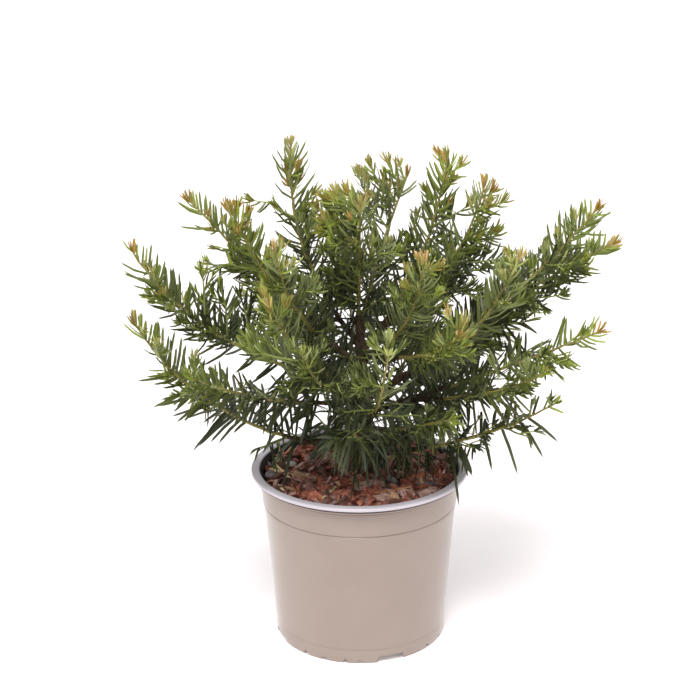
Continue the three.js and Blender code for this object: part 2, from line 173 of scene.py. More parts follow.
# Places are given in the photograph, as columns and rows. This works out the place that shows
# there, at a depth or at a height.
def placeShown(column, row, depth=None, height=None):
    pitch = math.radians(view["pitch"])
    slope = (view["row"] - row) / view["focal"]
    steepness = (slope * math.cos(pitch) - math.sin(pitch)) / (math.cos(pitch) + slope * math.sin(pitch))
    if depth is None:
        rise = height - view["height"]
        away = rise / steepness
    else:
        away = depth + view["distance"]
        rise = away * steepness
    forward = away * math.cos(pitch) - rise * math.sin(pitch)
    across = (column - view["column"]) * forward / view["focal"]
    return Vector((across, away - view["distance"], view["height"] + rise))


def shownAt(place):  # the column and row where a place shows
    pitch = math.radians(view["pitch"])
    away, rise = place.y + view["distance"], place.z - view["height"]
    forward = away * math.cos(pitch) - rise * math.sin(pitch)
    lift = away * math.sin(pitch) + rise * math.cos(pitch)
    return view["column"] + view["focal"] * place.x / forward, view["row"] - view["focal"] * lift / forward


studio = {
    "floor": "#fcf7f8", "floorSize": 24.0, "floorGlow": 0.2,  # metres, and how far the floor lights itself
    "sky": "#fffcff", "skyStrength": 0.34,
    # name: where the light comes from, watts per square metre, and degrees of softness
    "softLights": {
        "topLight": ((-0.1, -0.62, 1.0), 2.3, 22),
        "frontLight": ((0, -1, 0.4), 0.35, 70),
        "leftLight": ((-0.95, -0.3, 0.42), 0.95, 60),
        "rightLight": ((0.95, -0.3, 0.42), 0.85, 60),
        "backLight": ((0.1, 1.0, 1.2), 0.4, 60),
    },
}


def makeStudio():
    scene = bpy.context.scene
    scene.view_settings.view_transform = "Standard"
    world = bpy.data.worlds.new("studio")
    world.use_nodes = True
    world.node_tree.nodes["Background"].inputs["Color"].default_value = toLinear(studio["sky"])
    world.node_tree.nodes["Background"].inputs["Strength"].default_value = studio["skyStrength"]
    scene.world = world
    bm = bmesh.new()
    bmesh.ops.create_grid(bm, x_segments=1, y_segments=1, size=studio["floorSize"] / 2 / mm)
    floor = bpy.data.objects.new("floor", finishBmesh(bm, "floor"))
    scene.collection.objects.link(floor)
    glow = {"Emission Strength": studio["floorGlow"], "Emission Color": toLinear(studio["floor"])}
    floor.data.materials.append(startMaterial("paintedFloor", studio["floor"], 0.8, glow))
    for name, (place, strength, softness) in studio["softLights"].items():
        data = bpy.data.lights.new(name, "SUN")
        data.energy = strength
        data.angle = math.radians(softness)
        light = bpy.data.objects.new(name, data)
        light.location = place
        light.rotation_euler = (-light.location).to_track_quat("-Z", "Y").to_euler()
        scene.collection.objects.link(light)


camera = makeCamera()
makeStudio()
print("camera and studio ready")


# Pot: polypropylene nursery pot, spun from its outline, with the foot ring's openings cut out

# Its outline in stretches of (radius, height), up the outside and down the inside, with the lip between them
pot = {
    "underside": ((0, 0), (52, 0), (53.2, 5), (72.4, 5), (72.4, 0)),  # a pad, and a channel round it
    "footRing": ((74.0, 0), (75.0, 0.4), (75.4, 1.4), (75.7, 6.2)),
    "footStep": ((75.6, 12.6), (75.6, 13.3), (76.2, 13.55)),
    "flare": ((83.5, 113.5), (84.1, 117), (84.7, 121.0)),
    "seam": ((84.75, 123.1), (84.3, 123.7), (84.3, 124.6), (85.5, 124.8)),
    "collar": ((87.0, 144.6), (86.2, 145.4), (86.2, 147.2)),  # its top, and the groove over it
    "ledge": ((92.0, 147.5), (92.0, 148.8), (88.0, 149.0), (88.0, 151.1)),  # and the recess under the lip
    "lipRadius": 95, "lipInner": 87.4, "lipTop": 154.2, "lipLow": 151.1,
    "lipRound": 1.4, "lipUnderRound": 0.84,
    "inside": ((84.6, 148.8), (81.9, 113.5), (73.8, 7.4), (55.6, 7.4), (52, 2.4), (0, 2.4)),
    "sides": 144, "lipSteps": 4,
    # heights: top of the channel under the pot, where its black inside ends, and where the lip's grey begins
    "channelTop": 5, "blackTo": 151.5, "greyFrom": 150.8,
    "quarter": 90, "bearing": -69.5,  # the first wide opening, in degrees from +X
    # name: bearings from the wide opening, width at the top, height, round of the mouth and of the top
    "openings": {
        "wide": ((0,), 23.0, 5.6, 2.8, 1.2),
        "round": ((-30.5, 30.5), 3.0, 3.6, 1.6, 1.4),
        "slot": ((-21, 21), 2.6, 1.8, 1.1, 0.5),
        "flat": ((45,), 6.0, 1.8, 1.0, 0.5),
    },
    "cutFrom": 70.6, "cutDepth": 8, "cutBelow": 2, "cornerSteps": 4,
    # name: colour, deeper colour, roughness and sheen, by the faces' material number
    "plastics": {
        "mouldedTaupePolypropylene": ("#988a80", "#95877d", 0.28, 0.5),
        "mouldedGreyLip": ("#c2bcc3", "#beb8bf", 0.32, 0),
        "blackPotInside": ("#1f1b1d", "#1a1718", 0.6, 0),
        # painted shade: dark brown on the faces inside the foot ring and under the pot
        "paintedShadePotUnderside": ("#4a342d", "#3a2722", 0.7, 0),
    },
}


def corner(middle, radius, start, end, steps):  # points of an arc, with its angles in degrees
    angles = [math.radians(blend(start, end, i / steps)) for i in range(steps + 1)]
    return [(middle[0] + radius * math.cos(angle), middle[1] + radius * math.sin(angle)) for angle in angles]


def potOutline():  # outer face from the axis to the lip, then the inner face back to the axis
    outline = []
    for stretch in ("underside", "footRing", "footStep", "flare", "seam", "collar", "ledge"):
        outline += pot[stretch]
    turn, under, steps = pot["lipRound"], pot["lipUnderRound"], pot["lipSteps"]
    outline += corner((pot["lipRadius"] - under, pot["lipLow"] + under), under, -90, 0, steps)
    outline += corner((pot["lipRadius"] - turn, pot["lipTop"] - turn), turn, 0, 90, steps)
    outline += corner((pot["lipInner"] + turn, pot["lipTop"] - turn), turn, 90, 180, steps)
    return outline + list(pot["inside"])


# A block with a flared mouth and a rounded top, across the foot ring.
def addCutter(bm, bearing, width, rise, mouth, top):
    half, steps = width / 2, pot["cornerSteps"]
    outline = [(half + mouth, -pot["cutBelow"])] + corner((half + mouth, mouth), mouth, -90, -180, steps)
    outline += corner((half - top, rise - top), top, 0, 90, steps)
    outline += [(-x, z) for x, z in reversed(outline)]
    ring = [bm.verts.new((pot["cutFrom"], x, z)) for x, z in outline]
    block = bmesh.ops.extrude_face_region(bm, geom=[bm.faces.new(ring)])["geom"]
    far = [item for item in block if isinstance(item, bmesh.types.BMVert)]
    bmesh.ops.translate(bm, vec=(pot["cutDepth"], 0, 0), verts=far)
    turn = Matrix.Rotation(math.radians(bearing), 3, "Z")
    bmesh.ops.rotate(bm, cent=(0, 0, 0), matrix=turn, verts=ring + far)


def cutOpenings(shell):  # takes the foot ring's openings out of the spun shell
    bm = bmesh.new()
    for quarter in range(4):
        for bearings, *shape in pot["openings"].values():
            for bearing in bearings:
                addCutter(bm, pot["bearing"] + quarter * pot["quarter"] + bearing, *shape)
    bmesh.ops.recalc_face_normals(bm, faces=bm.faces)
    cutter = bpy.data.objects.new("footCutter", finishBmesh(bm, "footCutter"))
    bpy.context.scene.collection.objects.link(cutter)
    cut = shell.modifiers.new("openings", "BOOLEAN")
    cut.object = cutter
    cut.operation = "DIFFERENCE"
    cut.solver = "EXACT"
    bpy.context.view_layer.update()
    mesh = bpy.data.meshes.new_from_object(shell.evaluated_get(bpy.context.evaluated_depsgraph_get()))
    shell.modifiers.clear()
    shell.data = mesh
    bpy.data.objects.remove(cutter)


# Injection-moulded polypropylene: even taupe with a fine spark-eroded grain, which gives a soft satin sheen.
def mouldedPlastic(name, colour, deeper, roughness, sheen):
    settings = {"IOR": 1.49, "Sheen Weight": sheen, "Sheen Roughness": 0.3}
    material = startMaterial(name, colour, roughness, settings)
    place = objectPlace(material)
    paint(material, noiseOf(material, place, 38, 3), deeper, colour)
    roughen(material, noiseOf(material, place, 0.9, 2), 0.12, 0.15)
    return material


def makePot():
    bm = bmesh.new()
    ring = [bm.verts.new((radius, 0, height)) for radius, height in potOutline()]
    edges = [bm.edges.new(pair) for pair in zip(ring, ring[1:])]
    bmesh.ops.spin(bm, geom=ring + edges, cent=(0, 0, 0), axis=(0, 0, 1), angle=math.tau,
                   steps=pot["sides"], use_merge=True)
    bmesh.ops.remove_doubles(bm, verts=bm.verts, dist=0.01)
    bmesh.ops.recalc_face_normals(bm, faces=bm.faces)
    for face in bm.faces:
        middle = face.calc_center_median()
        inward = face.normal.x * middle.x + face.normal.y * middle.y < 0
        if inward and pot["channelTop"] + 1 < middle.z < pot["blackTo"]:
            face.material_index = 2
        # faces inside the foot ring and under the pot get the painted shade
        elif middle.z <= pot["channelTop"] + 0.1 and (inward or face.normal.z < -0.9):
            face.material_index = 3
        elif middle.z > pot["greyFrom"]:
            face.material_index = 1
    shell = bpy.data.objects.new("potShell", finishBmesh(bm, "potShell", 28))
    bpy.context.scene.collection.objects.link(shell)
    for name, looks in pot["plastics"].items():
        shell.data.materials.append(mouldedPlastic(name, *looks))
    cutOpenings(shell)
    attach(shell, "root")
    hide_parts("pot")


makePot()
print("pot ready")


# Bark fill: potting mix under a loose layer of bark chips, with a few straws and a pebble

mulch = {
    "radius": 83.7, "edgeHeight": 143.5, "crownHeight": 144.5, "skirtFoot": 116, "skirtTaper": 0.92,
    "sides": 72, "rings": 8, "ringWidth": 9, "crumb": 1.6, "crumbSize": 9,
    "chips": 950, "edgeChips": 190, "prototypes": 18,
    # a chip's length (mm), the shares of it that chips have, its width as a share of it, and its thickness
    "length": (12, 29), "shares": (0.5, 0.75, 1), "width": (0.18, 0.5), "thickness": (1.2, 3.6),
    # degrees that a chip leans from lying flat, and mm that it lies above the mix
    "tilt": 29, "layers": (0, 1.4, 3.0),
    "edgeRoom": (1.5, 6), "edgeStray": 0.25,  # mm from the wall, and radians from lying along it
    # tint: share of the chips
    "tints": {"redBark": 0.42, "darkBark": 0.27, "tanBark": 0.08, "pinkBark": 0.18, "greyBark": 0.05},
    # straws that show: tint, from and to (column, row), height above the mix and width (mm)
    "shownStraws": (
        ("strawPale", (266, 467), (290, 475), 6, 3.2), ("strawPale", (277, 466), (297, 484), 6.8, 2.2),
        ("strawBrown", (290, 474), (313, 464), 6.8, 2.0), ("strawPale", (273, 479), (284, 491), 5.2, 2.6),
        ("strawPale", (323, 500), (338, 485), 6, 2.6), ("strawOrange", (370, 494), (411, 488), 6.8, 1.9),
    ),
    # more of them behind: tint, bearing and distance of the middle, turn in degrees, and length
    "moreStraws": (
        ("strawBrown", 150, 76, 75, 31), ("strawPale", 42, 61, 143, 37), ("strawBrown", 93, 66, 13, 35),
        ("strawOrange", 357, 69, 74, 35),
    ),
    # big chips in front: tint, middle (column, row), length and turn
    "bigChips": (
        ("pinkBark", (370, 487), 25, 10), ("redBark", (414, 482), 24, 30), ("pinkBark", (403, 495), 22, -20),
        ("greyBark", (266, 474), 15, 70), ("pinkBark", (388, 499), 20, 12), ("redBark", (311, 497), 20, -60),
        ("darkBark", (349, 505), 19, 15), ("redBark", (328, 491), 21, 75), ("pinkBark", (430, 494), 21, 40),
    ),
    "bigLift": 4.4, "bigTilt": 12, "bigWidth": 0.55, "bigThickness": 3.2,
    "strawStray": 5, "strawThickness": 1.1, "moreLift": 6, "moreWidth": 2.0,
    # pebble: column and row, radius and height above the mix
    "pebble": ((292, 464), 4.2, 6), "pebbleShape": (1.2, 0.85, 0.6), "pebbleLumps": (0.16, 4),
}

# Before it is scaled, a chip is a unit block, and these are shares of its sides.
chipForm = {
    "cuts": 2, "skew": 0.25, "torn": (0.25, 0.6), "thinner": 0.45, "warp": 0.3, "rough": (0.05, 0.07, 0.12),
}

barkTints = {  # dark and light tone of each kind of chip
    "redBark": ("#6a3223", "#c37a62"), "darkBark": ("#351e17", "#82564a"), "tanBark": ("#7d583f", "#c79f7b"),
    "pinkBark": ("#82594d", "#d8b4a6"), "greyBark": ("#5b5050", "#9c9092"),
    "strawPale": ("#b79a68", "#ecd8aa"), "strawBrown": ("#8a5f3c", "#c79f74"),
    "strawOrange": ("#b06e44", "#dca671"),
}


# Chipped pine bark: fibres run along each chip, so a streak pattern follows the chip's own "grain" attribute.
def chippedBark(name, dark, light):
    material = startMaterial(name, light, 0.62, {"Specular IOR Level": 0.4})
    grain = addNode(material, "ShaderNodeAttribute", {"attribute_name": "grain"}).outputs["Vector"]
    streak = noiseOf(material, stretched(material, grain, (0.16, 1.0, 1.0)), 1.1, 5, 0.65)
    both = calculate(material, "ADD", {}, {0: streak, 1: noiseOf(material, grain, 7, 2)})
    paint(material, calculate(material, "MULTIPLY", {1: 0.5}, {0: both}), dark, light, 0.4, 0.6)
    roughen(material, streak, 0.7, 0.5)
    return material


# Moist peat and crumbled bark: nearly black, rough, and lumpy at a few millimetres.
def pottingMix():
    material = startMaterial("pottingMix", "#2c1c17", 0.95, {"Specular IOR Level": 0.2})
    crumbs = noiseOf(material, objectPlace(material), 3, 6)
    paint(material, crumbs, "#1c110e", "#4a2d23")
    roughen(material, crumbs, 1.0, 1.2)
    return material


def mulchHeight(x, y):  # the mix's surface, slightly heaped towards the stem
    share = min(1, math.hypot(x, y) / mulch["radius"])
    return blend(mulch["crownHeight"], mulch["edgeHeight"], share ** 2)


def makeMix():  # the visible top of the potting mix, with a skirt down inside the pot
    bm = bmesh.new()
    bmesh.ops.create_circle(bm, cap_ends=True, radius=mulch["radius"], segments=mulch["sides"])
    for ring in range(mulch["rings"]):
        inner = max(bm.faces, key=lambda face: face.calc_area())
        bmesh.ops.inset_region(bm, faces=[inner], thickness=mulch["ringWidth"])
    for vert in bm.verts:
        vert.co.z = mulchHeight(vert.co.x, vert.co.y)
        vert.co.z += mulch["crumb"] * noise.noise(vert.co / mulch["crumbSize"])
    rimEdges = [edge for edge in bm.edges if edge.is_boundary]
    down = bmesh.ops.extrude_edge_only(bm, edges=rimEdges)["geom"]
    taper = mulch["skirtTaper"]
    for vert in (item for item in down if isinstance(item, bmesh.types.BMVert)):
        vert.co = Vector((vert.co.x * taper, vert.co.y * taper, mulch["skirtFoot"]))
    bmesh.ops.contextual_create(bm, geom=[edge for edge in bm.edges if edge.is_boundary])
    bmesh.ops.recalc_face_normals(bm, faces=bm.faces)
    makePiece("pottingMix", finishBmesh(bm, "pottingMix", 80), [pottingMix()], ["bark_fill"])


def barkPrototype(shape):  # one chip of unit length: a split block, thinner and torn at its ends
    bm = bmesh.new()
    bmesh.ops.create_cube(bm, size=1)
    bmesh.ops.subdivide_edges(bm, edges=bm.edges, cuts=chipForm["cuts"], use_grid_fill=True)
    lean = shape.uniform(-chipForm["skew"], chipForm["skew"])
    roughX, roughY, roughZ = chipForm["rough"]
    for vert in bm.verts:
        end = abs(vert.co.x) * 2
        vert.co.y *= 1 - shape.uniform(*chipForm["torn"]) * end ** 3
        vert.co.z *= 1 - chipForm["thinner"] * end ** 2
        vert.co.x += lean * vert.co.y + shape.uniform(-roughX, roughX)
        vert.co.y += shape.uniform(-roughY, roughY)
        vert.co.z += shape.uniform(-roughZ, roughZ) + chipForm["warp"] * vert.co.x ** 2
    bmesh.ops.recalc_face_normals(bm, faces=bm.faces)
    points = np.array([vert.co[:] for vert in bm.verts])
    faces = [[vert.index for vert in face.verts] for face in bm.faces]
    bm.free()
    return points, faces


def placeChip(batch, prototype, size, place, turn):  # adds one chip to its tint's batch
    points, faces = prototype
    local = points * np.array(size)
    start = sum(len(part) for part in batch["points"])
    batch["faces"] += [[start + index for index in face] for face in faces]
    batch["grain"].append(local + np.array([random.uniform(-90, 90) for axis in range(3)]))
    placed = local @ np.array(turn.to_3x3()).T + np.array(place)
    furthest = np.hypot(placed[:, 0], placed[:, 1]).max()
    placed[:, :2] *= min(1, mulch["radius"] / furthest)  # one that would reach into the wall lies closer in
    batch["points"].append(placed)


def onMix(spot, lift):  # the place above the mix that shows at a pixel
    level = placeShown(*spot, height=mulch["edgeHeight"] + lift)
    return Vector((level.x, level.y, mulchHeight(level.x, level.y) + lift))


def addStraw(batch, prototype, middle, run, width):
    stray = math.radians(random.uniform(-mulch["strawStray"], mulch["strawStray"]))
    turn = Matrix.Rotation(math.atan2(run.y, run.x), 4, "Z") @ Matrix.Rotation(stray, 4, "Y")
    placeChip(batch, prototype, (run.to_2d().length, width, mulch["strawThickness"]), middle, turn)


def scatterChips(batches, prototypes):
    tints = list(mulch["tints"])
    lean = math.radians(mulch["tilt"])
    for number in range(mulch["chips"] + mulch["edgeChips"]):
        length = random.uniform(*mulch["length"]) * random.choice(mulch["shares"])
        size = (length, length * random.uniform(*mulch["width"]), random.uniform(*mulch["thickness"]))
        bearing, spin = random.uniform(0, math.tau), random.uniform(0, math.tau)
        away = (mulch["radius"] - length * 0.5) * math.sqrt(random.random())
        if number >= mulch["chips"]:  # along the wall, where a chip lies with the curve
            away = mulch["radius"] - random.uniform(*mulch["edgeRoom"])
            spin = bearing + random.gauss(math.pi / 2, mulch["edgeStray"])
        x, y = away * math.cos(bearing), away * math.sin(bearing)
        turn = Matrix.Rotation(spin, 4, "Z") @ Matrix.Rotation(random.gauss(0, lean), 4, "Y")
        turn = turn @ Matrix.Rotation(random.gauss(0, lean), 4, "X")
        tint = random.choices(tints, [mulch["tints"][name] for name in tints])[0]
        height = mulchHeight(x, y) + random.choice(mulch["layers"])
        placeChip(batches[tint], prototypes[number % len(prototypes)], size, (x, y, height), turn)


def makeChips():
    shape = random.Random(5)
    prototypes = [barkPrototype(shape) for count in range(mulch["prototypes"])]
    batches = {tint: {"points": [], "faces": [], "grain": []} for tint in barkTints}
    scatterChips(batches, prototypes)
    tilt = Matrix.Rotation(math.radians(mulch["bigTilt"]), 4, "X")
    for tint, spot, length, bearing in mulch["bigChips"]:
        turn = Matrix.Rotation(math.radians(bearing), 4, "Z") @ tilt
        size = (length, length * mulch["bigWidth"], mulch["bigThickness"])
        placeChip(batches[tint], shape.choice(prototypes), size, onMix(spot, mulch["bigLift"]), turn)
    for tint, spot, otherSpot, height, width in mulch["shownStraws"]:
        start, end = onMix(spot, height), onMix(otherSpot, height)
        addStraw(batches[tint], shape.choice(prototypes), (start + end) / 2, end - start, width)
    for tint, bearing, away, turn, length in mulch["moreStraws"]:
        middle = Matrix.Rotation(math.radians(bearing), 3, "Z") @ Vector((away, 0, 0))
        middle.z = mulchHeight(middle.x, middle.y) + mulch["moreLift"]
        run = Matrix.Rotation(math.radians(turn), 3, "Z") @ Vector((length, 0, 0))
        addStraw(batches[tint], shape.choice(prototypes), middle, run, mulch["moreWidth"])
    for tint, batch in batches.items():
        points = np.concatenate(batch["points"])
        mesh = meshFromArrays(tint, points, batch["faces"], [0] * len(batch["faces"]))
        grain = mesh.attributes.new("grain", "FLOAT_VECTOR", "POINT")
        grain.data.foreach_set("vector", (np.concatenate(batch["grain"]) * mm).ravel())
        makePiece(tint, mesh, [chippedBark(tint, *barkTints[tint])], ["bark_fill"])


# Worn limestone: pale grey, smooth, and faintly mottled.
def wornLimestone():
    material = startMaterial("wornLimestone", "#c9c6c4", 0.6)
    paint(material, noiseOf(material, objectPlace(material), 2, 3), "#a9a4a2", "#dedbd8")
    return material


def makePebble():  # one pale pebble among the chips
    spot, radius, lift = mulch["pebble"]
    lump, lumpSize = mulch["pebbleLumps"]
    bm = bmesh.new()
    bmesh.ops.create_icosphere(bm, subdivisions=3, radius=radius)
    for vert in bm.verts:
        vert.co *= 1 + lump * noise.noise(vert.co / lumpSize)
    bmesh.ops.scale(bm, vec=mulch["pebbleShape"], verts=bm.verts)
    bmesh.ops.translate(bm, vec=onMix(spot, lift), verts=bm.verts)
    makePiece("pebble", finishBmesh(bm, "pebble", 80), [wornLimestone()], ["bark_fill"])


makeMix()
makeChips()
makePebble()
print("bark fill ready")


# Growth rule: the shoots and paths of the solid model, in the same terms

trunk = {
    "foot": Vector((6, 6, 144.3)), "bend": Vector((6, 6, 217)), "tip": Vector((0, 2, 290)),
    "flareRadius": 10.5, "flareShare": 0.16, "footRadius": 6.6, "tipRadius": 3.2,
}
bough = {"trunkBorn": 3.1, "boughBorn": 2.5, "tipRadius": 1.9}

# name: what it grows on, at which height of the trunk or share of a bough, its tip (column, row, mm behind
# the pot's axis), shares of the way out and up to its bend, and the share of it from which it is leafy
shoots = {
    "middle": ("trunk", 290, (363, 200, -66), 0.35, 0.55, 0.0085),
    "left": ("trunk", 226, (129, 242, -20), 0.72, 0.24, 0.24),
    "left_low": ("trunk", 165, (131, 311, -70), 0.77, 0.26, 0.24),
    "left_front": ("trunk", 212, (186, 373, -120), 0.62, 0.3, 0.25),
    "left_upper": ("trunk", 237, (187, 195, 20), 0.58, 0.56, 0.2),
    "left_high": ("trunk", 245, (233, 204, -30), 0.72, 0.36, 0.25),
    "tall_left": ("trunk", 263, (295, 136, 20), 1.2, 0.42, 0.2),
    "left_crest": ("left_high", 0.16, (276, 244, -90), 0.85, 0.45, 0.22),
    "front_left": ("trunk", 221, (269, 302, -135), 0.7, 0.42, 0.26),
    "front_left_low": ("front_left", 0.13, (301, 350, -155), 0.62, 0.22, 0.22),
    "back_high": ("trunk", 276, (412, 171, 50), 0.38, 0.56, 0.2),
    "tall_right": ("trunk", 257, (451, 150, 10), 0.85, 0.42, 0.24),
    "right_high": ("tall_right", 0.15, (489, 180, -10), 0.8, 0.38, 0.2),
    "right_upper": ("trunk", 213, (607, 202, 0), 0.6, 0.42, 0.36),
    "right": ("right_upper", 0.26, (621, 243, 30), 0.5, 0.64, 0.3),
    "right_inner": ("right_upper", 0.14, (521, 254, -60), 0.8, 0.4, 0.22),
    "front_right_crest": ("trunk", 250, (428, 258, -115), 0.85, 0.4, 0.24),
    "front_right": ("front_right_crest", 0.14, (463, 332, -150), 0.75, 0.36, 0.2),
    "front": ("trunk", 192, (391, 350, -160), 0.7, 0.4, 0.26),
    "right_low": ("trunk", 201, (608, 330, -40), 0.55, 0.48, 0.3),
    "right_front": ("right_low", 0.18, (549, 372, -105), 0.62, 0.34, 0.2),
    "right_bottom": ("trunk", 162, (563, 401, -70), 0.6, 0.3, 0.28),
    "front_right_low": ("trunk", 181, (456, 420, -120), 0.55, 0.55, 0.2),
    "front_low": ("trunk", 171, (352, 430, -110), 0.62, 0.55, 0.28),
    "back_left": ("trunk", 205, (250, 250, 130), 0.66, 0.36, 0.26),
    "back": ("trunk", 230, (345, 238, 165), 0.7, 0.36, 0.24),
    "back_right": ("trunk", 189, (455, 244, 140), 0.66, 0.36, 0.28),
    "right_back": ("back_right", 0.16, (545, 272, 95), 0.66, 0.36, 0.2),
    "back_low": ("trunk", 169, (380, 330, 150), 0.66, 0.4, 0.28),
}
nodesOf = {
    "wood": ["trunk"] + ["bough_" + name for name in shoots if name != "middle"],
    "foliage": ["foliage_" + name for name in shoots],
}


def wholeNumber(value):
    return value & 0xFFFFFFFF


def chance(shoot, item, use):  # 0 to 1, from the shoot, the item on it and the use alone
    n = wholeNumber((shoot + 1) * 374761393) ^ wholeNumber((item + 1) * 668265263)
    n ^= wholeNumber((use + 1) * 2246822519)
    n = wholeNumber((n ^ (n >> 13)) * 1274126177)
    return (n ^ (n >> 16)) / 4294967296


class Path:  # a curve from a start to an end, drawn towards a bend
    def __init__(self, start, bend, end):
        self.start, self.bend, self.end = start.copy(), bend.copy(), end.copy()
        self.length = sum((self.at((i + 1) / 24) - self.at(i / 24)).length for i in range(24))

    def at(self, share):
        rest = 1 - share
        return self.start * rest * rest + self.bend * 2 * rest * share + self.end * share * share

    def along(self, share):
        return ((self.bend - self.start) * (1 - share) + (self.end - self.bend) * share).normalized()


def acrossOf(along):  # the level direction square to a twig
    level = Vector((along.y, -along.x, 0))
    return level.normalized() if level.length > 0.01 else Vector((1, 0, 0))


def trunkRadius(share):
    flare = max(0, 1 - share / trunk["flareShare"]) ** 2 * (trunk["flareRadius"] - trunk["footRadius"])
    return blend(trunk["footRadius"], trunk["tipRadius"], share) + flare


def trunkShare(height):  # share of the trunk at a height, to a thousandth
    return round((height - trunk["foot"].z) / (trunk["tip"].z - trunk["foot"].z), 3)


def tipOf(column, row, depth):  # a shoot's furthest tip, to whole degrees and millimetres
    place = placeShown(column, row, depth)
    reach = round(math.hypot(place.x, place.y))
    turn = math.radians(round(math.degrees(math.atan2(place.y, place.x)) % 360))
    return Vector((reach * math.cos(turn), reach * math.sin(turn), round(place.z)))


def growShoots():  # path and facts of each shoot, in the table's order
    grown = {"trunk": {"path": Path(trunk["foot"], trunk["bend"], trunk["tip"])}}
    for number, (name, row) in enumerate(shoots.items()):
        on, where, tip, out, rise, leafy = row
        start = grown[on]["path"].at(trunkShare(where) if on == "trunk" else where)
        end = tipOf(*tip)
        way = end - start
        bend = start + Vector((way.x * out, way.y * out, way.z * rise))
        grown[name] = {
            "name": name, "number": number, "path": Path(start, bend, end), "leafy": leafy,
            "born": bough["trunkBorn"] if on == "trunk" else bough["boughBorn"],
        }
    return grown


grown = growShoots()
print("growth rule ready")


# Trunk and boughs: bark-covered wood with shallow flakes, each bough rooted inside the limb that carries it

bark = {
    "sides": 5, "step": 2.5,  # Blender's bevel resolution, and mm between rings
    "below": 6,  # mm that the trunk goes on down into the potting mix
    "flake": 0.55, "flakeSize": 5, "ridge": 0.3, "ridgeSize": 1.8,  # mm high and mm wide
    "nodeSwelling": 0.35, "nodeSpacing": 17,  # mm, at old bud scars
    "leafyOverlap": 0.03,  # share of a shoot that its bark runs on into the leafy part
    # mm wider below, then mm past the tip and share of the tip's radius there
    "footSpread": 0.4, "tipCap": (1.5, 0.6),
    # mm thicker where a bough is rooted, and the share of the bough that this takes
    "collar": 1.2, "collarShare": 0.05,
    "stretch": (0.4, 0.3),  # how much slower flakes and ridges change up the limb
}


# A bevelled curve through lines of (point, radius) pairs, turned into a mesh. Millimetres.
def tubesMesh(name, lines, resolution):
    curve = bpy.data.curves.new(name, "CURVE")
    curve.dimensions = "3D"
    curve.bevel_depth = mm
    curve.bevel_resolution = resolution
    curve.use_fill_caps = True
    for line in lines:
        spline = curve.splines.new("POLY")
        spline.points.add(len(line) - 1)
        for knot, (point, radius) in zip(spline.points, line):
            knot.co = (*(Vector(point) * mm), 1)
            knot.radius = radius
    holder = bpy.data.objects.new(name, curve)
    bpy.context.scene.collection.objects.link(holder)
    bpy.context.view_layer.update()
    mesh = bpy.data.meshes.new_from_object(holder.evaluated_get(bpy.context.evaluated_depsgraph_get()))
    bpy.data.objects.remove(holder)
    bpy.data.curves.remove(curve)
    return mesh


# Young yew bark: thin reddish brown scales that lift in narrow strips, dull, with a paler edge to each strip.
def scalyYewBark():
    material = startMaterial("scalyYewBark", "#6f4430", 0.85, {"Specular IOR Level": 0.3})
    tall = stretched(material, objectPlace(material), (1, 1, 0.3))
    strips = noiseOf(material, tall, 2.2, 5, 0.6)
    flecks = addNode(material, "ShaderNodeTexVoronoi", {"Scale": 1 / (3.5 * mm)}, {"Vector": tall})
    mixed = calculate(material, "MULTIPLY_ADD", {1: 0.35}, {0: flecks.outputs["Distance"], 2: strips})
    paint(material, mixed, "#261b15", "#51402f", 0.42, 0.85)
    roughen(material, mixed, 0.8, 0.6)
    return material


# Rings along a limb, with swellings at old bud scars.
def limbLine(path, begin, end, radiusAt):
    count = max(6, round(path.length * (end - begin) / bark["step"]))
    line = []
    for i in range(count + 1):
        share = blend(begin, end, i / count)
        wave = math.cos(math.tau * share * path.length / bark["nodeSpacing"])
        line.append((path.at(share), radiusAt(share) + bark["nodeSwelling"] * max(0, wave) ** 6))
    return line


def boughRadius(shoot, share):
    rooted = max(0, bark["collarShare"] - share) / bark["collarShare"]
    return blend(shoot["born"], bough["tipRadius"], min(1, share / shoot["leafy"])) + bark["collar"] * rooted


def addRelief(mesh):  # flakes and ridges of the bark
    relief = bmesh.new()
    relief.from_mesh(mesh)
    relief.normal_update()
    flakeStretch, ridgeStretch = bark["stretch"]
    for vert in relief.verts:
        place = vert.co / mm
        flakes = noise.noise(Vector((place.x, place.y, place.z * flakeStretch)) / bark["flakeSize"])
        ridges = noise.noise(Vector((place.x, place.y, place.z * ridgeStretch)) / bark["ridgeSize"])
        vert.co += vert.normal * mm * (bark["flake"] * flakes + bark["ridge"] * ridges)
    for face in relief.faces:
        face.smooth = True
    relief.to_mesh(mesh)
    relief.free()


def makeBark():
    stem = grown["trunk"]["path"]
    past, narrower = bark["tipCap"]
    below = Vector((stem.start.x, stem.start.y, stem.start.z - bark["below"]))
    lines = [[(below, trunk["flareRadius"] + bark["footSpread"])] + limbLine(stem, 0, 1, trunkRadius)]
    lines[0].append((stem.end + stem.along(1) * past, trunk["tipRadius"] * narrower))
    for name in shoots:
        shoot = grown[name]
        if name != "middle":
            end = shoot["leafy"] + bark["leafyOverlap"]
            radiusAt = lambda share, shoot=shoot: boughRadius(shoot, share)
            lines.append(limbLine(shoot["path"], 0, end, radiusAt))
    mesh = tubesMesh("barkWood", lines, bark["sides"])
    addRelief(mesh)
    makePiece("barkWood", mesh, [scalyYewBark()], nodesOf["wood"])


makeBark()
print("bark ready")


# Twigs: the source's leading twigs and side sprays, further side shoots, and finer twigs between and on them

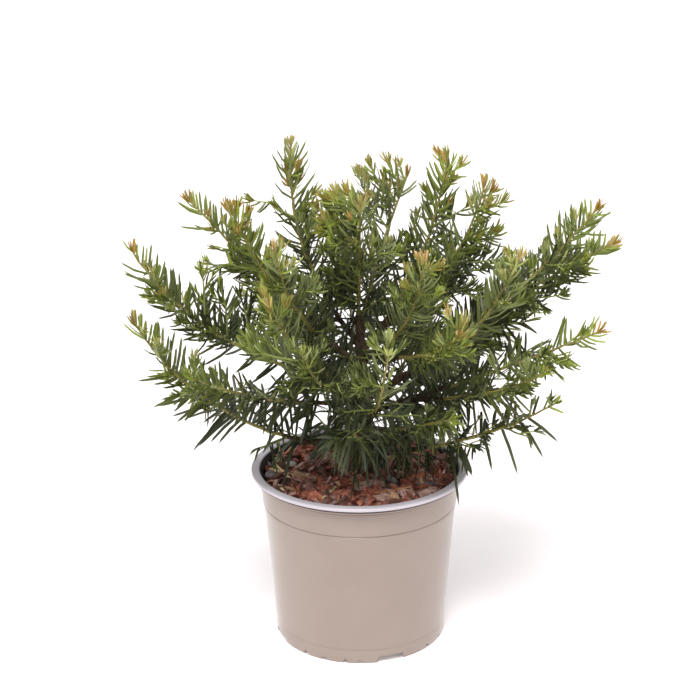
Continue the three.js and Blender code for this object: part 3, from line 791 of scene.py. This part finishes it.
twig = {
    # mm, at base and tip
    "leaderRadius": (1.9, 0.75), "sprayRadius": (1.0, 0.55), "fineRadius": (0.75, 0.45),
    "leafyFrom": 0.07, "leaderEnd": 0.965, "sides": 1, "step": 5,
    "wander": 0.9, "wanderPace": 0.45,
    "angle": 50, "bendForward": 0.3, "levelLift": 0.4, "goldenAngle": 137.508,
    # Ranks of needles turn to the light, from the front or back and from above. Their plane is taken at these
    # shares of a leading twig and of a side twig, and strays by these degrees.
    "backFrom": 30, "fromTheSide": 1.0, "fromAbove": 0.75, "leaderRankAt": 0.7, "rankAt": 0.5,
    "stray": {"leader": 12, "spray": 24, "side": 24, "fine": 50},
    # Twigs by rule. places: shares of the leafy part, which ends at upTo. share: length as a share of it, and
    # less by taper at the tip. uses: the numbers that turn, length and rank draw their chance from.
    "rules": {
        "spray": {
            "places": (0.02, 0.2, 0.38, 0.56), "upTo": 1, "share": 0.36, "taper": 0.6, "length": (24, 50),
            "spread": (0.85, 1.15), "firstTurn": 0, "jitter": 60, "uses": (0, 1, 4), "begin": 0.02,
        },
        "fine": {
            "places": (0.16, 0.4, 0.62, 0.78), "upTo": 0.965, "share": 0.17, "taper": 0.55,
            "length": (11, 28),
            "spread": (0.75, 1.25), "firstTurn": 1, "jitter": 90, "uses": (7, 8, 9), "begin": 0,
        },
    },
    "shadedPlace": -0.2,  # where old twigs count as standing on the shoot, behind its leafy part
    # places on the shoot, length, and steps of the golden angle that the turn starts with
    "innerPlaces": (-0.22, -0.07), "innerLength": (26, 42), "innerTurn": 0.5, "innerFrom": 0.04,
    "extraPlaces": (0.06, 0.24, 0.42, 0.58, 0.7), "extraLength": (20, 34), "extraTurn": 0.4,
    "extraTaper": 0.3,
    # mm from the leading twig, mm left for the tuft, and how far a side shoot bows out
    "tipReach": (14, 44), "tuftRoom": 6, "bulge": 0.12, "pickFrom": 0.1, "pickSteps": 60, "tooShort": 4,
    "basalTwigs": 12, "basalLength": (30, 58), "basalShare": (0.05, 0.93), "basalAngle": 70,
    "basalFrom": 0.1,  # share of a basal twig that is bare
    "basalBend": (0.96, 0.1),  # shares of the way on and down
    "subPlaces": (0.34, 0.62), "subLength": (10, 18), "subFrom": 31,
    "subForward": 0.72, "subOut": 0.69, "subBend": 0.4,
    "sideItem": 9,  # number that the items of side shoots start with, after those of the sprays
    # share of the twigs with amber tufts, and how many tints older the others look
    "amberTufts": 0.6, "greenDelay": 0.6,
}

# Gaps where the photograph shows the background through the crown: column, row and radius in pixels
crownGaps = {
    "top": (
        (282, 200, 7), (382, 220, 7), (400, 201, 8), (415, 197, 7), (400, 218, 9), (460, 204, 6),
        (460, 221, 6), (418, 166, 6), (258, 188, 8),
    ),
    "right": (
        (535, 238, 8), (523, 238, 6), (602, 262, 8), (548, 328, 10), (533, 340, 7), (563, 346, 8),
        (556, 304, 7), (577, 320, 7), (580, 358, 7),
    ),
    "rightLow": (
        (500, 378, 7), (540, 418, 8), (556, 419, 6), (500, 441, 7), (518, 441, 9), (482, 462, 8),
        (500, 462, 9), (540, 441, 8),
    ),
    "centre": (
        (400, 361, 7), (398, 379, 7), (401, 396, 6), (318, 401, 6), (302, 398, 5), (321, 418, 6),
        (338, 318, 5),
    ),
    "left": (
        (200, 219, 8), (200, 237, 7), (218, 258, 8), (217, 241, 6), (201, 281, 6), (160, 312, 5),
        (138, 342, 6), (139, 361, 7), (155, 364, 5), (128, 256, 7),
    ),
    "leftLow": (
        (214, 356, 5), (235, 362, 6), (256, 367, 7), (275, 368, 7), (268, 382, 6), (198, 418, 7),
        (240, 440, 6), (256, 440, 8), (238, 459, 8),
    ),
}
toCamera = np.array(camera.matrix_basis.inverted())


def inGap(points):  # True for the points that would close a gap
    seen = (np.atleast_2d(points) * mm) @ toCamera[:3, :3].T + toCamera[:3, 3]
    column = view["size"] / 2 - view["focal"] * seen[:, 0] / seen[:, 2]
    row = view["size"] / 2 + view["focal"] * seen[:, 1] / seen[:, 2]
    closed = np.zeros(len(column), dtype=bool)
    for gaps in crownGaps.values():
        for gapColumn, gapRow, radius in gaps:
            closed |= np.hypot(column - gapColumn, row - gapRow) < radius
    return closed


# Tips of further side shoots, by the shoot that carries them: column, row, and mm behind that shoot. Other
# shoots get theirs by rule.
sidePicks = {
    "left": (
        (146, 265, -12), (151, 302, -16), (163, 292, -20), (172, 307, -24), (193, 314, -16), (186, 296, 6),
        (215, 330, -24), (203, 262, 10), (222, 280, 6), (240, 288, 10), (205, 300, 8), (160, 269, 5),
    ),
    "left_low": (
        (146, 330, -10), (158, 345, 10), (165, 375, -14), (183, 372, 6), (195, 352, 8), (215, 372, 8),
        (172, 396, 6), (200, 404, 6),
    ),
    "left_front": (
        (197, 374, -14), (212, 350, 6), (243, 385, -20), (250, 400, -24),
    ),
    "left_upper": (
        (209, 228, -6), (226, 217, -12), (231, 246, -14), (228, 264, -18), (205, 263, 10), (246, 256, 8),
        (232, 238, 8), (222, 255, 6),
    ),
    "left_high": (
        (245, 222, -6), (252, 207, 8), (238, 232, -10), (258, 232, 6), (226, 203, 4), (240, 201, 6),
    ),
    "tall_left": (
        (274, 203, 0), (309, 207, -8), (288, 180, -6), (303, 178, 4), (308, 250, -14), (320, 188, 4),
        (286, 162, 3), (304, 164, -3),
    ),
    "left_crest": (
        (268, 255, -8), (290, 262, 4), (262, 278, 4), (286, 242, 2), (299, 259, 2),
    ),
    "front_left": (
        (268, 323, -8), (273, 336, -12), (290, 300, 6), (262, 290, 6),
    ),
    "front_left_low": (
        (290, 345, -6), (300, 372, -10), (255, 352, -8), (240, 345, 4),
    ),
    "back_high": (
        (357, 168, -10), (383, 182, -22), (403, 181, -14), (396, 197, -16), (388, 158, 6), (370, 160, 10),
        (400, 162, 14), (378, 200, -10),
    ),
    "middle": (
        (334, 191, 4), (346, 186, 10), (321, 219, 0), (350, 219, -14), (362, 206, -2), (366, 231, -12),
        (356, 248, -18), (367, 267, -22), (357, 274, -26), (330, 290, -20), (330, 238, -8), (318, 250, 4),
        (340, 262, -16), (324, 195, 24), (337, 188, 24), (315, 203, 22),
    ),
    "tall_right": (
        (424, 187, -4), (419, 197, 4), (460, 178, -2), (460, 201, -8), (434, 226, -10), (438, 150, 6),
        (468, 162, 4),
    ),
    "right_high": (
        (497, 206, -6), (486, 222, -10), (473, 236, -16), (483, 239, -10), (464, 260, -14), (476, 196, 6),
        (500, 190, 4), (480, 252, -6), (490, 270, -8), (484, 290, -4), (474, 272, 6), (510, 200, 3),
        (505, 235, -2), (514, 259, -8),
    ),
    "right_inner": (
        (511, 258, -6), (529, 252, 4), (505, 275, -8), (507, 250, 8), (515, 270, 4),
    ),
    "right_upper": (
        (578, 215, -5), (560, 232, -8), (548, 245, -10), (595, 220, 4), (536, 262, 6),
    ),
    "right": (
        (574, 266, -10), (590, 274, -12), (600, 250, 4), (612, 250, 3), (570, 282, -12), (555, 292, -8),
    ),
    "front_right_crest": (
        (429, 268, -10), (447, 265, -4), (406, 284, -4), (419, 292, -14), (446, 293, -12), (418, 258, 2),
    ),
    "front_right": (
        (448, 310, -6), (470, 318, 4), (440, 340, -8), (455, 355, -8),
    ),
    "front": (
        (408, 345, 4), (395, 378, -6), (355, 376, -8), (372, 342, -4), (390, 335, 3),
    ),
    "right_low": (
        (568, 364, -8), (590, 332, 4), (545, 372, -10), (552, 350, 6),
    ),
    "right_front": (
        (528, 362, -6), (508, 352, 4), (485, 388, -10), (520, 388, -6), (540, 366, 3),
    ),
    "right_bottom": (
        (552, 395, -5), (540, 410, -8), (520, 414, -8), (490, 437, -10), (535, 398, 5), (481, 415, -14),
    ),
    "front_right_low": (
        (447, 424, -4), (463, 420, 2), (430, 405, 6),
    ),
}


def sideTip(path, column, row, behind):  # a tip that shows at a pixel, beside the nearest part of the shoot
    def apart(share):
        shown = shownAt(path.at(share))
        return math.hypot(shown[0] - column, shown[1] - row)

    last = twig["pickSteps"] - 1
    share = min((blend(twig["pickFrom"], 1, i / last) for i in range(twig["pickSteps"])), key=apart)
    return placeShown(column, row, path.at(share).y + behind)


def squareTo(vector, way):
    return vector - way * vector.dot(way)


def litAcross(way, place, order, drawn):  # the direction, square to a twig, of the ranks that face the light
    side = Vector((0, 1 if place.y > twig["backFrom"] else -1, 0))
    facing = squareTo(side, way) * twig["fromTheSide"] + squareTo(up, way) * twig["fromAbove"]
    stray = math.radians(twig["stray"][order] * (2 * drawn - 1))
    return way.cross(Matrix.Rotation(stray, 3, way) @ facing.normalized())


def leaning(path, share, lean, turn):  # a direction that leans from a path, turned about it
    along = path.along(share)
    side = Vector((path.start.y - path.end.y, path.end.x - path.start.x, 0))
    side = side.normalized() if side.length >= 1 else Vector((0, 1, 0))
    side = (side - along * side.dot(along)).normalized()
    lift = blend(1, twig["levelLift"], math.hypot(along.x, along.y))
    square = side * math.cos(turn) + side.cross(along) * (lift * math.sin(turn))
    return along * math.cos(lean) + square.normalized() * math.sin(lean)


def sidePath(path, share, turn, length):  # a side twig that bends forward
    start, along = path.at(share), path.along(share)
    way = leaning(path, share, math.radians(twig["angle"]), turn)
    bend = start + way * (length / 2)
    return Path(start, bend, bend + way.lerp(along, twig["bendForward"]).normalized() * (length / 2))


# A side twig that ends at a tip and leaves its path as near to the usual angle as it can.
def pathTo(path, tip):
    shortest, longest = twig["tipReach"]
    steps = twig["pickSteps"]

    def strain(share):
        way = tip - path.at(share)
        angle = math.degrees(way.angle(path.along(share)))
        short, long = max(0, shortest - way.length), max(0, way.length - longest)
        return abs(angle - twig["angle"]) + twig["tooShort"] * short + long

    share = min((i / steps for i in range(3, steps - 1)), key=strain)
    start, along = path.at(share), path.along(share)
    way = tip - start
    way = way * (1 - twig["tuftRoom"] / way.length)
    outward = (way - along * way.dot(along)).normalized()
    return share, Path(start, start + way / 2 + outward * (twig["bulge"] * way.length), start + way)


def clamp(value, low, high):
    return max(low, min(high, value))


# Each leafy twig's line, order, shoot, place on the shoot (0 inner, 1 tip), needle plane, radii and delay
twigs = []


def addTwig(path, begin, end, order, shoot, place, across, radii):
    count = max(4, round(path.length * (end - begin) / twig["step"]))
    shift = Vector((shoot["number"] * 7.3, path.length, place * 5))
    line = []
    for i in range(count + 1):
        wander = noise.noise_vector(shift + Vector((0, 0, i * twig["wanderPace"]))) * twig["wander"]
        line.append(path.at(blend(begin, end, i / count)) + wander * min(1, i / 2))
    delay = twig["greenDelay"] if random.random() > twig["amberTufts"] else 0
    if order == "leader" or not inGap([line[-1], line[count // 2]]).any():  # a leading twig crosses a gap
        twigs.append({
            "line": line, "order": order, "shoot": shoot, "place": place, "across": across, "radii": radii,
            "delay": delay,
        })


def addLeader(shoot):
    path, number = shoot["path"], shoot["number"]
    at = twig["leaderRankAt"]
    across = litAcross(path.along(at), path.at(at), "leader", chance(number, 0, 5))
    begin = min(shoot["leafy"], twig["leafyFrom"])
    addTwig(path, begin, twig["leaderEnd"], "leader", shoot, 0, across, twig["leaderRadius"])


def addSubTwigs(side, across, shoot, item, place):  # the short twigs of a side twig, in its needles' plane
    if side.length < twig["subFrom"]:
        return
    for j, subPlace in enumerate(twig["subPlaces"]):
        hand = 1 if (item + j) % 2 else -1
        along = side.along(subPlace)
        way = (along * twig["subForward"] + across * (hand * twig["subOut"])).normalized()
        length = blend(*twig["subLength"], chance(shoot["number"], item * 4 + j, 6))
        bend = side.at(subPlace) + way * (length / 2)
        end = bend + way.lerp(along, twig["subBend"]).normalized() * (length / 2)
        sub = Path(side.at(subPlace), bend, end)
        addTwig(sub, 0, 1, "fine", shoot, place, across, twig["fineRadius"])


def addByRule(shoot, kind):  # the source's side sprays, or fine twigs between them
    path, number, leafy = shoot["path"], shoot["number"], shoot["leafy"]
    rule = twig["rules"][kind]
    turnUse, lengthUse, rankUse = rule["uses"]
    for i, place in enumerate(rule["places"]):
        share = blend(leafy, rule["upTo"], place)
        level = math.hypot(path.along(share).x, path.along(share).y)
        jitter = rule["jitter"] * (chance(number, i, turnUse) - 0.5)
        turn = math.radians((i + rule["firstTurn"]) * blend(twig["goldenAngle"], 180, level) + jitter)
        wish = path.length * (1 - leafy) * rule["share"] * (1 - rule["taper"] * place)
        wish = wish * blend(*rule["spread"], chance(number, i, lengthUse))
        side = sidePath(path, share, turn, clamp(wish, *rule["length"]))
        across = litAcross(side.along(twig["rankAt"]), side.end, kind, chance(number, i, rankUse))
        addTwig(side, rule["begin"], 1, kind, shoot, place, across, twig[kind + "Radius"])
        if kind == "spray":
            addSubTwigs(side, across, shoot, i, place)


def addInnerTwigs(shoot):  # older twigs on the bough behind the foliage
    path, number = shoot["path"], shoot["number"]
    for i, place in enumerate(twig["innerPlaces"]):
        share = blend(shoot["leafy"], 1, place)
        if share > twig["innerFrom"]:
            turn = (i + twig["innerTurn"]) * twig["goldenAngle"] + 360 * chance(number, i, 10)
            length = blend(*twig["innerLength"], chance(number, i, 11))
            side = sidePath(path, share, math.radians(turn), length)
            across = litAcross(side.along(twig["rankAt"]), side.end, "spray", chance(number, i, 12))
            addTwig(side, 0, 1, "spray", shoot, twig["shadedPlace"], across, twig["sprayRadius"])


def extraSides(shoot):  # side shoots by rule, where none were picked
    sides = []
    for i, place in enumerate(twig["extraPlaces"]):
        share = blend(shoot["leafy"], 1, place)
        turn = (i + twig["extraTurn"]) * twig["goldenAngle"] + 360 * chance(shoot["number"], i, 13)
        length = blend(*twig["extraLength"], chance(shoot["number"], i, 14))
        length = length * (1 - twig["extraTaper"] * place)
        sides.append((share, sidePath(shoot["path"], share, math.radians(turn), length)))
    return sides


def addSideShoots(shoot):  # to the picked tips, or else by rule
    path, number = shoot["path"], shoot["number"]
    sides = [pathTo(path, sideTip(path, *pick)) for pick in sidePicks.get(shoot["name"], ())]
    if not sides and shoot["name"] not in oldShoots:
        sides = extraSides(shoot)
    for i, (share, side) in enumerate(sides):
        place = clamp((share - shoot["leafy"]) / (1 - shoot["leafy"]), 0, 1)
        across = litAcross(side.along(twig["rankAt"]), side.end, "side", chance(number, i, 15))
        addTwig(side, 0, 1, "side", shoot, place, across, twig["sprayRadius"])
        addSubTwigs(side, across, shoot, i + twig["sideItem"], place)


def addBasalTwigs():  # old, drooping twigs low on the trunk
    stem, basal = grown["trunk"]["path"], {"number": len(shoots), "name": "trunk"}
    lean = math.radians(twig["basalAngle"])
    on, down = twig["basalBend"]
    for i in range(twig["basalTwigs"]):
        turn = math.radians(i * twig["goldenAngle"])
        level = Vector((math.cos(turn), math.sin(turn), 0))
        way = level * math.sin(lean) + up * math.cos(lean)
        length = blend(*twig["basalLength"], chance(basal["number"], i, 0))
        start = stem.at(blend(*twig["basalShare"], i / twig["basalTwigs"]))
        bend = start + way * (length / 2)
        side = Path(start, bend, bend + (way * on - up * down).normalized() * (length / 2))
        across = acrossOf(level)
        addTwig(side, twig["basalFrom"], 1, "spray", basal, twig["shadedPlace"], across, twig["sprayRadius"])


oldShoots = ("front_low", "back_low", "trunk")  # shoots with no new growth
for name in shoots:
    addLeader(grown[name])
    addByRule(grown[name], "spray")
    addSideShoots(grown[name])
    addInnerTwigs(grown[name])
    addByRule(grown[name], "fine")
addBasalTwigs()


# Young yew shoots: smooth and green to olive while they carry needles, half matt, with faint ribs.
def youngShootSkin(name, dark, light):
    material = startMaterial(name, light, 0.55)
    ribs = noiseOf(material, objectPlace(material), 1.6, 3)
    paint(material, ribs, dark, light)
    roughen(material, ribs, 0.4, 0.2)
    return material


def makeTwigs():
    kinds = {
        "leadingTwigs": (("leader",), youngShootSkin("ripeningShoot", "#6e6434", "#98904a")),
        "sideTwigs": (("spray", "side"), youngShootSkin("greenShoot", "#66703a", "#8f9a4a")),
        "fineTwigs": (("fine",), youngShootSkin("newShoot", "#7d8a3f", "#a9b055")),
    }
    for name, (orders, material) in kinds.items():
        lines = []
        for item in twigs:
            if item["order"] in orders:
                last = len(item["line"]) - 1
                radii = [blend(*item["radii"], i / last) for i in range(last + 1)]
                lines.append(list(zip(item["line"], radii)))
        mesh = tubesMesh(name, lines, twig["sides"])
        mesh.polygons.foreach_set("use_smooth", [True] * len(mesh.polygons))
        makePiece(name, mesh, [material], nodesOf["foliage"])


makeTwigs()
print("twigs ready:", len(twigs))


# Needles: flat, pointed and slightly sickle-shaped, in two ranks on level twigs and all round on upright ones

needle = {
    "step": {"leader": 1.85, "spray": 2.1, "side": 2.0, "fine": 2.2},  # mm of twig for each needle
    "firstAt": 0.8, "stepStray": 0.4,  # mm
    "longest": {"leader": 28, "spray": 25, "side": 22, "fine": 18}, "shortest": 9, "growth": 20,  # mm
    "sizeStray": 0.13, "width": 2.4, "youngWidth": 1.7, "ridge": 0.34, "belly": 0.2,
    # degrees from the twig, at its tip and, over these mm, further back
    "lean": 64, "tipLean": 28, "leanGrowth": 16, "uprightLean": -9, "stray": 9,
    "uprightFrom": 0.45,  # how steep a twig is, 0 to 1, where its ranks begin to break up
    "spread": (16, 34),  # degrees that needles stray from their ranks, on a level twig and an upright one
    "rollUp": 0.35,  # how far the needles of an upright twig turn their edges round it
    # parts of the bow up, inward and forward, its depth as a share of the length, and how far that varies
    "bow": (0.8, 0.4, 0.5), "bowDepth": 0.34, "bowStray": (0.5, 1.5),
    "axisRoom": 20,  # mm from the pot's axis within which needles bow inward less
    "lowHeight": (270, 70),  # mm: below this height needles begin to hang, and fully so this far below it
    "hang": 0.55, "droop": 0.42,  # how far low needles turn down, and bend down over their length
    "hangReach": (70, 120), "outerHang": 0.3,  # mm from the axis where they turn down fully, and least
    "lowLonger": 1.2, "lowWider": 0.8, "lowSparser": 0.6,  # times, mm, and share left out
    "oldYouth": 0.45, "oldLow": 0.5,  # in the shade: how young they look, and how far they hang at least
    "tuft": (8, 12), "tuftBack": 0.6, "tuftLean": (5, 42), "tuftLength": (7, 13), "tuftAge": 7,
    "oldTuft": 1.7,  # times longer in the shade
    # Needles shed in the shade: share lost, within mm of the stem, fading out up to a height
    "shed": 0.55, "shedReach": (45, 105), "shedHeight": (235, 330),
    # Parts of a needle that must stay off the pot: out to a distance below a height, and over the lip
    "probes": (0.5, 0.8, 1), "overMix": (88, 147), "overLip": (84, 98, 158),
    # share of the length and of the half width
    "outline": ((0, 0.45), (0.08, 0.9), (0.5, 1.0), (0.86, 0.74)),
}

# Tints from the newest needles to the oldest, which also carry the painted shade low and deep in the crown:
# upper side in two shades, then the underside
needleTints = {
    "amber": ("#bd954c", "#ab843c", "#c8aa6a"),
    "gold": ("#9b8f44", "#8d813b", "#aaa060"),
    "lime": ("#93a040", "#849138", "#a9b062"),
    "fresh": ("#727f34", "#64712c", "#8c975c"),
    "mid": ("#5d662e", "#525b28", "#78824c"),
    "dark": ("#4b512f", "#414727", "#687047"),
    "deep": ("#3c4429", "#343b23", "#575f41"),
}
limeShoots = ("left_front", "front", "front_left_low", "right_front", "right_bottom", "front_right_low")
ages = {  # what makes a needle's tint older, counted in tints: its age, and painted shade down the crown and near the axis
    "fromTip": ((0, 3, 6.5, 13, 28, 70, 125), (0, 0.4, 1.5, 2.5, 3.1, 4, 5)),  # mm from the tip, and age
    "limeLeast": 1.9, "limeMore": 0.8, "limeReach": 9,  # on limeShoots, and mm from the tip
    "oldLeast": 3.6,  # on oldShoots
    "inner": 2.6, "innerCurve": 1.3,  # towards the stem, not on leading twigs
    "paintedShadeByHeight": 0.6, "paintedShadeByHeightFrom": (390, 40),  # painted shade down the crown and painted light at its top: height, and mm over which it grows
    "paintedShadeReach": (95, 60), "paintedShadeHeight": (350, 80), "paintedShadeMost": 1.3,  # painted shade near the axis and low down
    # painted shade at the bottom of the crown: height, and mm over which it grows; then the tints' random
    # stray
    "paintedShadeBottom": (250, 60), "stray": 0.3,
}

draw = np.random.default_rng(11)


def unit(rows):
    return rows / np.linalg.norm(rows, axis=1, keepdims=True)


def dot(a, b):
    return np.sum(a * b, axis=1, keepdims=True)


def depthBelow(values, top, depth, least=0, most=1):  # how far values lie below a top, as a share of a depth
    return np.clip((top - values) / depth, least, most)


def onLine(line, run, places):  # points and directions at places along a line
    point = np.stack([np.interp(places, run, line[:, axis]) for axis in range(3)], axis=1)
    ahead = np.stack([np.interp(places + 1, run, line[:, axis]) for axis in range(3)], axis=1)
    behind = np.stack([np.interp(places - 1, run, line[:, axis]) for axis in range(3)], axis=1)
    return point, unit(ahead - behind)


# Number of the tint, from the age of the needle and painted shade by its depth in the crown.
def tintOf(item, fromTip, root):
    shoot = item["shoot"]
    age = np.interp(fromTip, *ages["fromTip"])
    if shoot["name"] in limeShoots:
        age = np.maximum(age, ages["limeLeast"])
        age = age + ages["limeMore"] * np.clip(fromTip / ages["limeReach"], 0, 1)
    if shoot["name"] in oldShoots:
        age = np.maximum(age, ages["oldLeast"])
    height, away = root[:, 2], np.hypot(root[:, 0], root[:, 1])
    if item["order"] != "leader":
        age = age + ages["inner"] * (1 - item["place"]) ** ages["innerCurve"] + item["delay"]
        # painted shade lower down the crown, and painted light at its top
        age = age + ages["paintedShadeByHeight"] * depthBelow(height, *ages["paintedShadeByHeightFrom"], -1, 1)
    # painted shade near the axis and low down, then at the bottom of the crown
    hidden = depthBelow(height, *ages["paintedShadeHeight"], 0, ages["paintedShadeMost"])
    age = age + depthBelow(away, *ages["paintedShadeReach"]) * hidden
    age = age + depthBelow(height, *ages["paintedShadeBottom"])
    age = age + draw.normal(0, ages["stray"], len(age))
    return np.clip(np.round(age), 0, len(needleTints) - 1).astype(int)


def needlesOn(item):  # roots, directions, sizes and tints of the needles on one twig
    line = np.array([point[:] for point in item["line"]])
    run = np.concatenate(([0], np.cumsum(np.linalg.norm(np.diff(line, axis=0), axis=1))))
    order, length = item["order"], run[-1]
    inShade = item["place"] < 0 or item["shoot"]["name"] in oldShoots
    places = np.arange(needle["firstAt"], length, needle["step"][order])
    places = places + draw.uniform(-needle["stepStray"], needle["stepStray"], len(places))
    fromTip = length - places
    tufts = draw.integers(*needle["tuft"])
    root, along = onLine(line, run, np.concatenate((places, np.full(tufts, length - needle["tuftBack"]))))
    count = len(root)
    tuft = np.arange(count) >= len(places)
    fromTip = np.concatenate((fromTip, np.zeros(tufts)))
    young = np.exp(-fromTip / needle["growth"])
    if inShade:
        young = young * needle["oldYouth"]
    size = needle["longest"][order] * (1 - young) + needle["shortest"] * young
    tuftSize = draw.uniform(*needle["tuftLength"], count) * (needle["oldTuft"] if inShade else 1)
    size = np.where(tuft, tuftSize, size * draw.normal(1, needle["sizeStray"], count))
    lean = needle["lean"] - (needle["lean"] - needle["tipLean"]) * np.exp(-fromTip / needle["leanGrowth"])
    tuftLean = draw.uniform(*needle["tuftLean"], count)
    lean = np.where(tuft, tuftLean, lean + draw.normal(0, needle["stray"], count))
    across = np.array(item["across"][:])[None, :]
    across = unit(across - dot(across, along) * along)
    face = np.cross(along, across)
    face = face * np.where(face[:, 2:] < 0, -1, 1)
    upright = np.clip(np.abs(along[:, 2]) / needle["uprightFrom"] - 1, 0, 1)
    lean = np.where(tuft, lean, lean + needle["uprightLean"] * upright)
    spread = blend(*needle["spread"], upright)
    turn = np.arange(count) % 2 * 180 + draw.normal(0, 1, count) * spread
    turn = np.where(tuft, np.arange(count) * twig["goldenAngle"], turn)
    turn, lean = np.radians(turn)[:, None], np.radians(lean)[:, None]
    way = np.cos(lean) * along + np.sin(lean) * (np.cos(turn) * across + np.sin(turn) * face)
    low = depthBelow(root[:, 2:], *needle["lowHeight"])
    if inShade:
        low = np.maximum(low, needle["oldLow"])
    rising = np.array([[0, 0, 1]])
    near, far = needle["hangReach"]
    reach = np.hypot(root[:, 0], root[:, 1])[:, None]
    way = unit(way - rising * low * needle["hang"] * depthBelow(reach, far, far - near, needle["outerHang"]))
    forward = unit(along - dot(along, way) * way)
    around = unit(np.cross(way, along))
    flat = forward * np.where(dot(np.cross(way, forward), face) < 0, -1, 1)
    around = around * np.where(dot(np.cross(way, around), along) < 0, -1, 1)
    wide = blend(flat, around, needle["rollUp"] * upright[:, None])
    wide = unit(wide - dot(wide, way) * way)
    inward = -root * np.array([[1, 1, 0]]) / np.maximum(reach, needle["axisRoom"])
    lift, pull, push = needle["bow"]
    bow = rising * lift + inward * pull + along * push
    bow = (bow - dot(bow, way) * way) * needle["bowDepth"] * draw.uniform(*needle["bowStray"], (count, 1))
    size = size * blend(1, needle["lowLonger"], low[:, 0] * (1 - young))
    return {
        "root": root, "way": way, "wide": wide, "size": size, "low": low[:, 0],
        "bow": bow * (1 - low) - rising * needle["droop"] * low,
        "width": blend(needle["width"], needle["youngWidth"], young) + needle["lowWider"] * low[:, 0],
        "tint": tintOf(item, fromTip + tuft * draw.uniform(0, needle["tuftAge"], count), root),
        "shade": np.full(count, draw.integers(0, 2)),
    }


# True for the needles that light reaches and that stay clear of the pot.
def keptNeedles(grownNeedles):
    root, size = grownNeedles["root"], grownNeedles["size"][:, None]
    near, far = needle["shedReach"]
    bottom, top = needle["shedHeight"]
    inner = depthBelow(np.hypot(root[:, 0], root[:, 1]), far, far - near)
    lost = needle["shed"] * inner * depthBelow(root[:, 2], top, top - bottom)
    keep = draw.random(len(root)) > np.maximum(lost, needle["lowSparser"] * grownNeedles["low"])
    mixReach, mixTop = needle["overMix"]
    lipInner, lipOuter, lipTop = needle["overLip"]
    for share in needle["probes"]:
        place = root + (grownNeedles["way"] * share + grownNeedles["bow"] * share ** 2) * size
        away, height = np.hypot(place[:, 0], place[:, 1]), place[:, 2]
        keep &= ~((away < mixReach) & (height < mixTop))
        keep &= ~((away > lipInner) & (away < lipOuter) & (height < lipTop))
        keep &= ~inGap(place)
    return keep


# The chosen needles as one mesh: rings of four points, then a sharp tip.
def needleMesh(name, chosen):
    count = len(chosen["root"])
    thick = np.cross(chosen["way"], chosen["wide"])
    half, size = chosen["width"][:, None] / 2, chosen["size"][:, None]
    rows = []
    for share, breadth in needle["outline"] + ((1, 0),):
        bent = chosen["root"] + chosen["way"] * size * share
        bent = bent + chosen["bow"] * size * share ** 2
        if breadth == 0:
            rows.append(bent)
            continue
        rows.append(bent - chosen["wide"] * half * breadth)
        rows.append(bent + thick * needle["ridge"] * breadth)
        rows.append(bent + chosen["wide"] * half * breadth)
        rows.append(bent - thick * needle["belly"] * breadth)
    points = np.stack(rows, axis=1).reshape(-1, 3)
    each, rings = len(rows), len(needle["outline"])
    pattern, under = [(0, 1, 2, 3)], [False]  # a needle's faces, and which of them face down
    for ring in range(rings - 1):
        for side in range(4):
            a, b = ring * 4 + side, ring * 4 + (side + 1) % 4
            pattern.append((a, a + 4, b + 4, b))
            under.append(side > 1)
    last = (rings - 1) * 4
    pattern += [(last + side, each - 1, last + (side + 1) % 4) for side in range(4)]
    under += [False, False, True, True]
    faces = [[start + point for point in face] for start in range(0, count * each, each) for face in pattern]
    index = np.where(np.array(under)[None, :], 2, chosen["shade"][:, None]).ravel()
    mesh = meshFromArrays(name, points, faces, index)
    mesh.polygons.foreach_set("use_smooth", [True] * len(mesh.polygons))
    mesh.set_sharp_from_angle(angle=math.radians(60))
    return mesh


# Yew needles: leathery, with a satin gloss above and a matt, paler underside. Each tint is one plain colour.
def needleSkin(name, colour, roughness):
    return startMaterial(name, colour, roughness, {"IOR": 1.45})


def makeNeedles():
    parts = [needlesOn(item) for item in twigs]
    everything = {key: np.concatenate([part[key] for part in parts]) for key in parts[0]}
    keep = keptNeedles(everything)
    everything = {key: value[keep] for key, value in everything.items()}
    for number, (tint, (upper, otherUpper, under)) in enumerate(needleTints.items()):
        chosen = {key: value[everything["tint"] == number] for key, value in everything.items()}
        materials = [
            needleSkin(tint + "Upper", upper, 0.42), needleSkin(tint + "UpperShaded", otherUpper, 0.42),
            needleSkin(tint + "Under", under, 0.6)]
        mesh = needleMesh(tint + "Needles", chosen)
        print(tint, "needles:", len(chosen["root"]))
        makePiece(tint + "Needles", mesh, materials, nodesOf["foliage"])


makeNeedles()
print("needles ready")
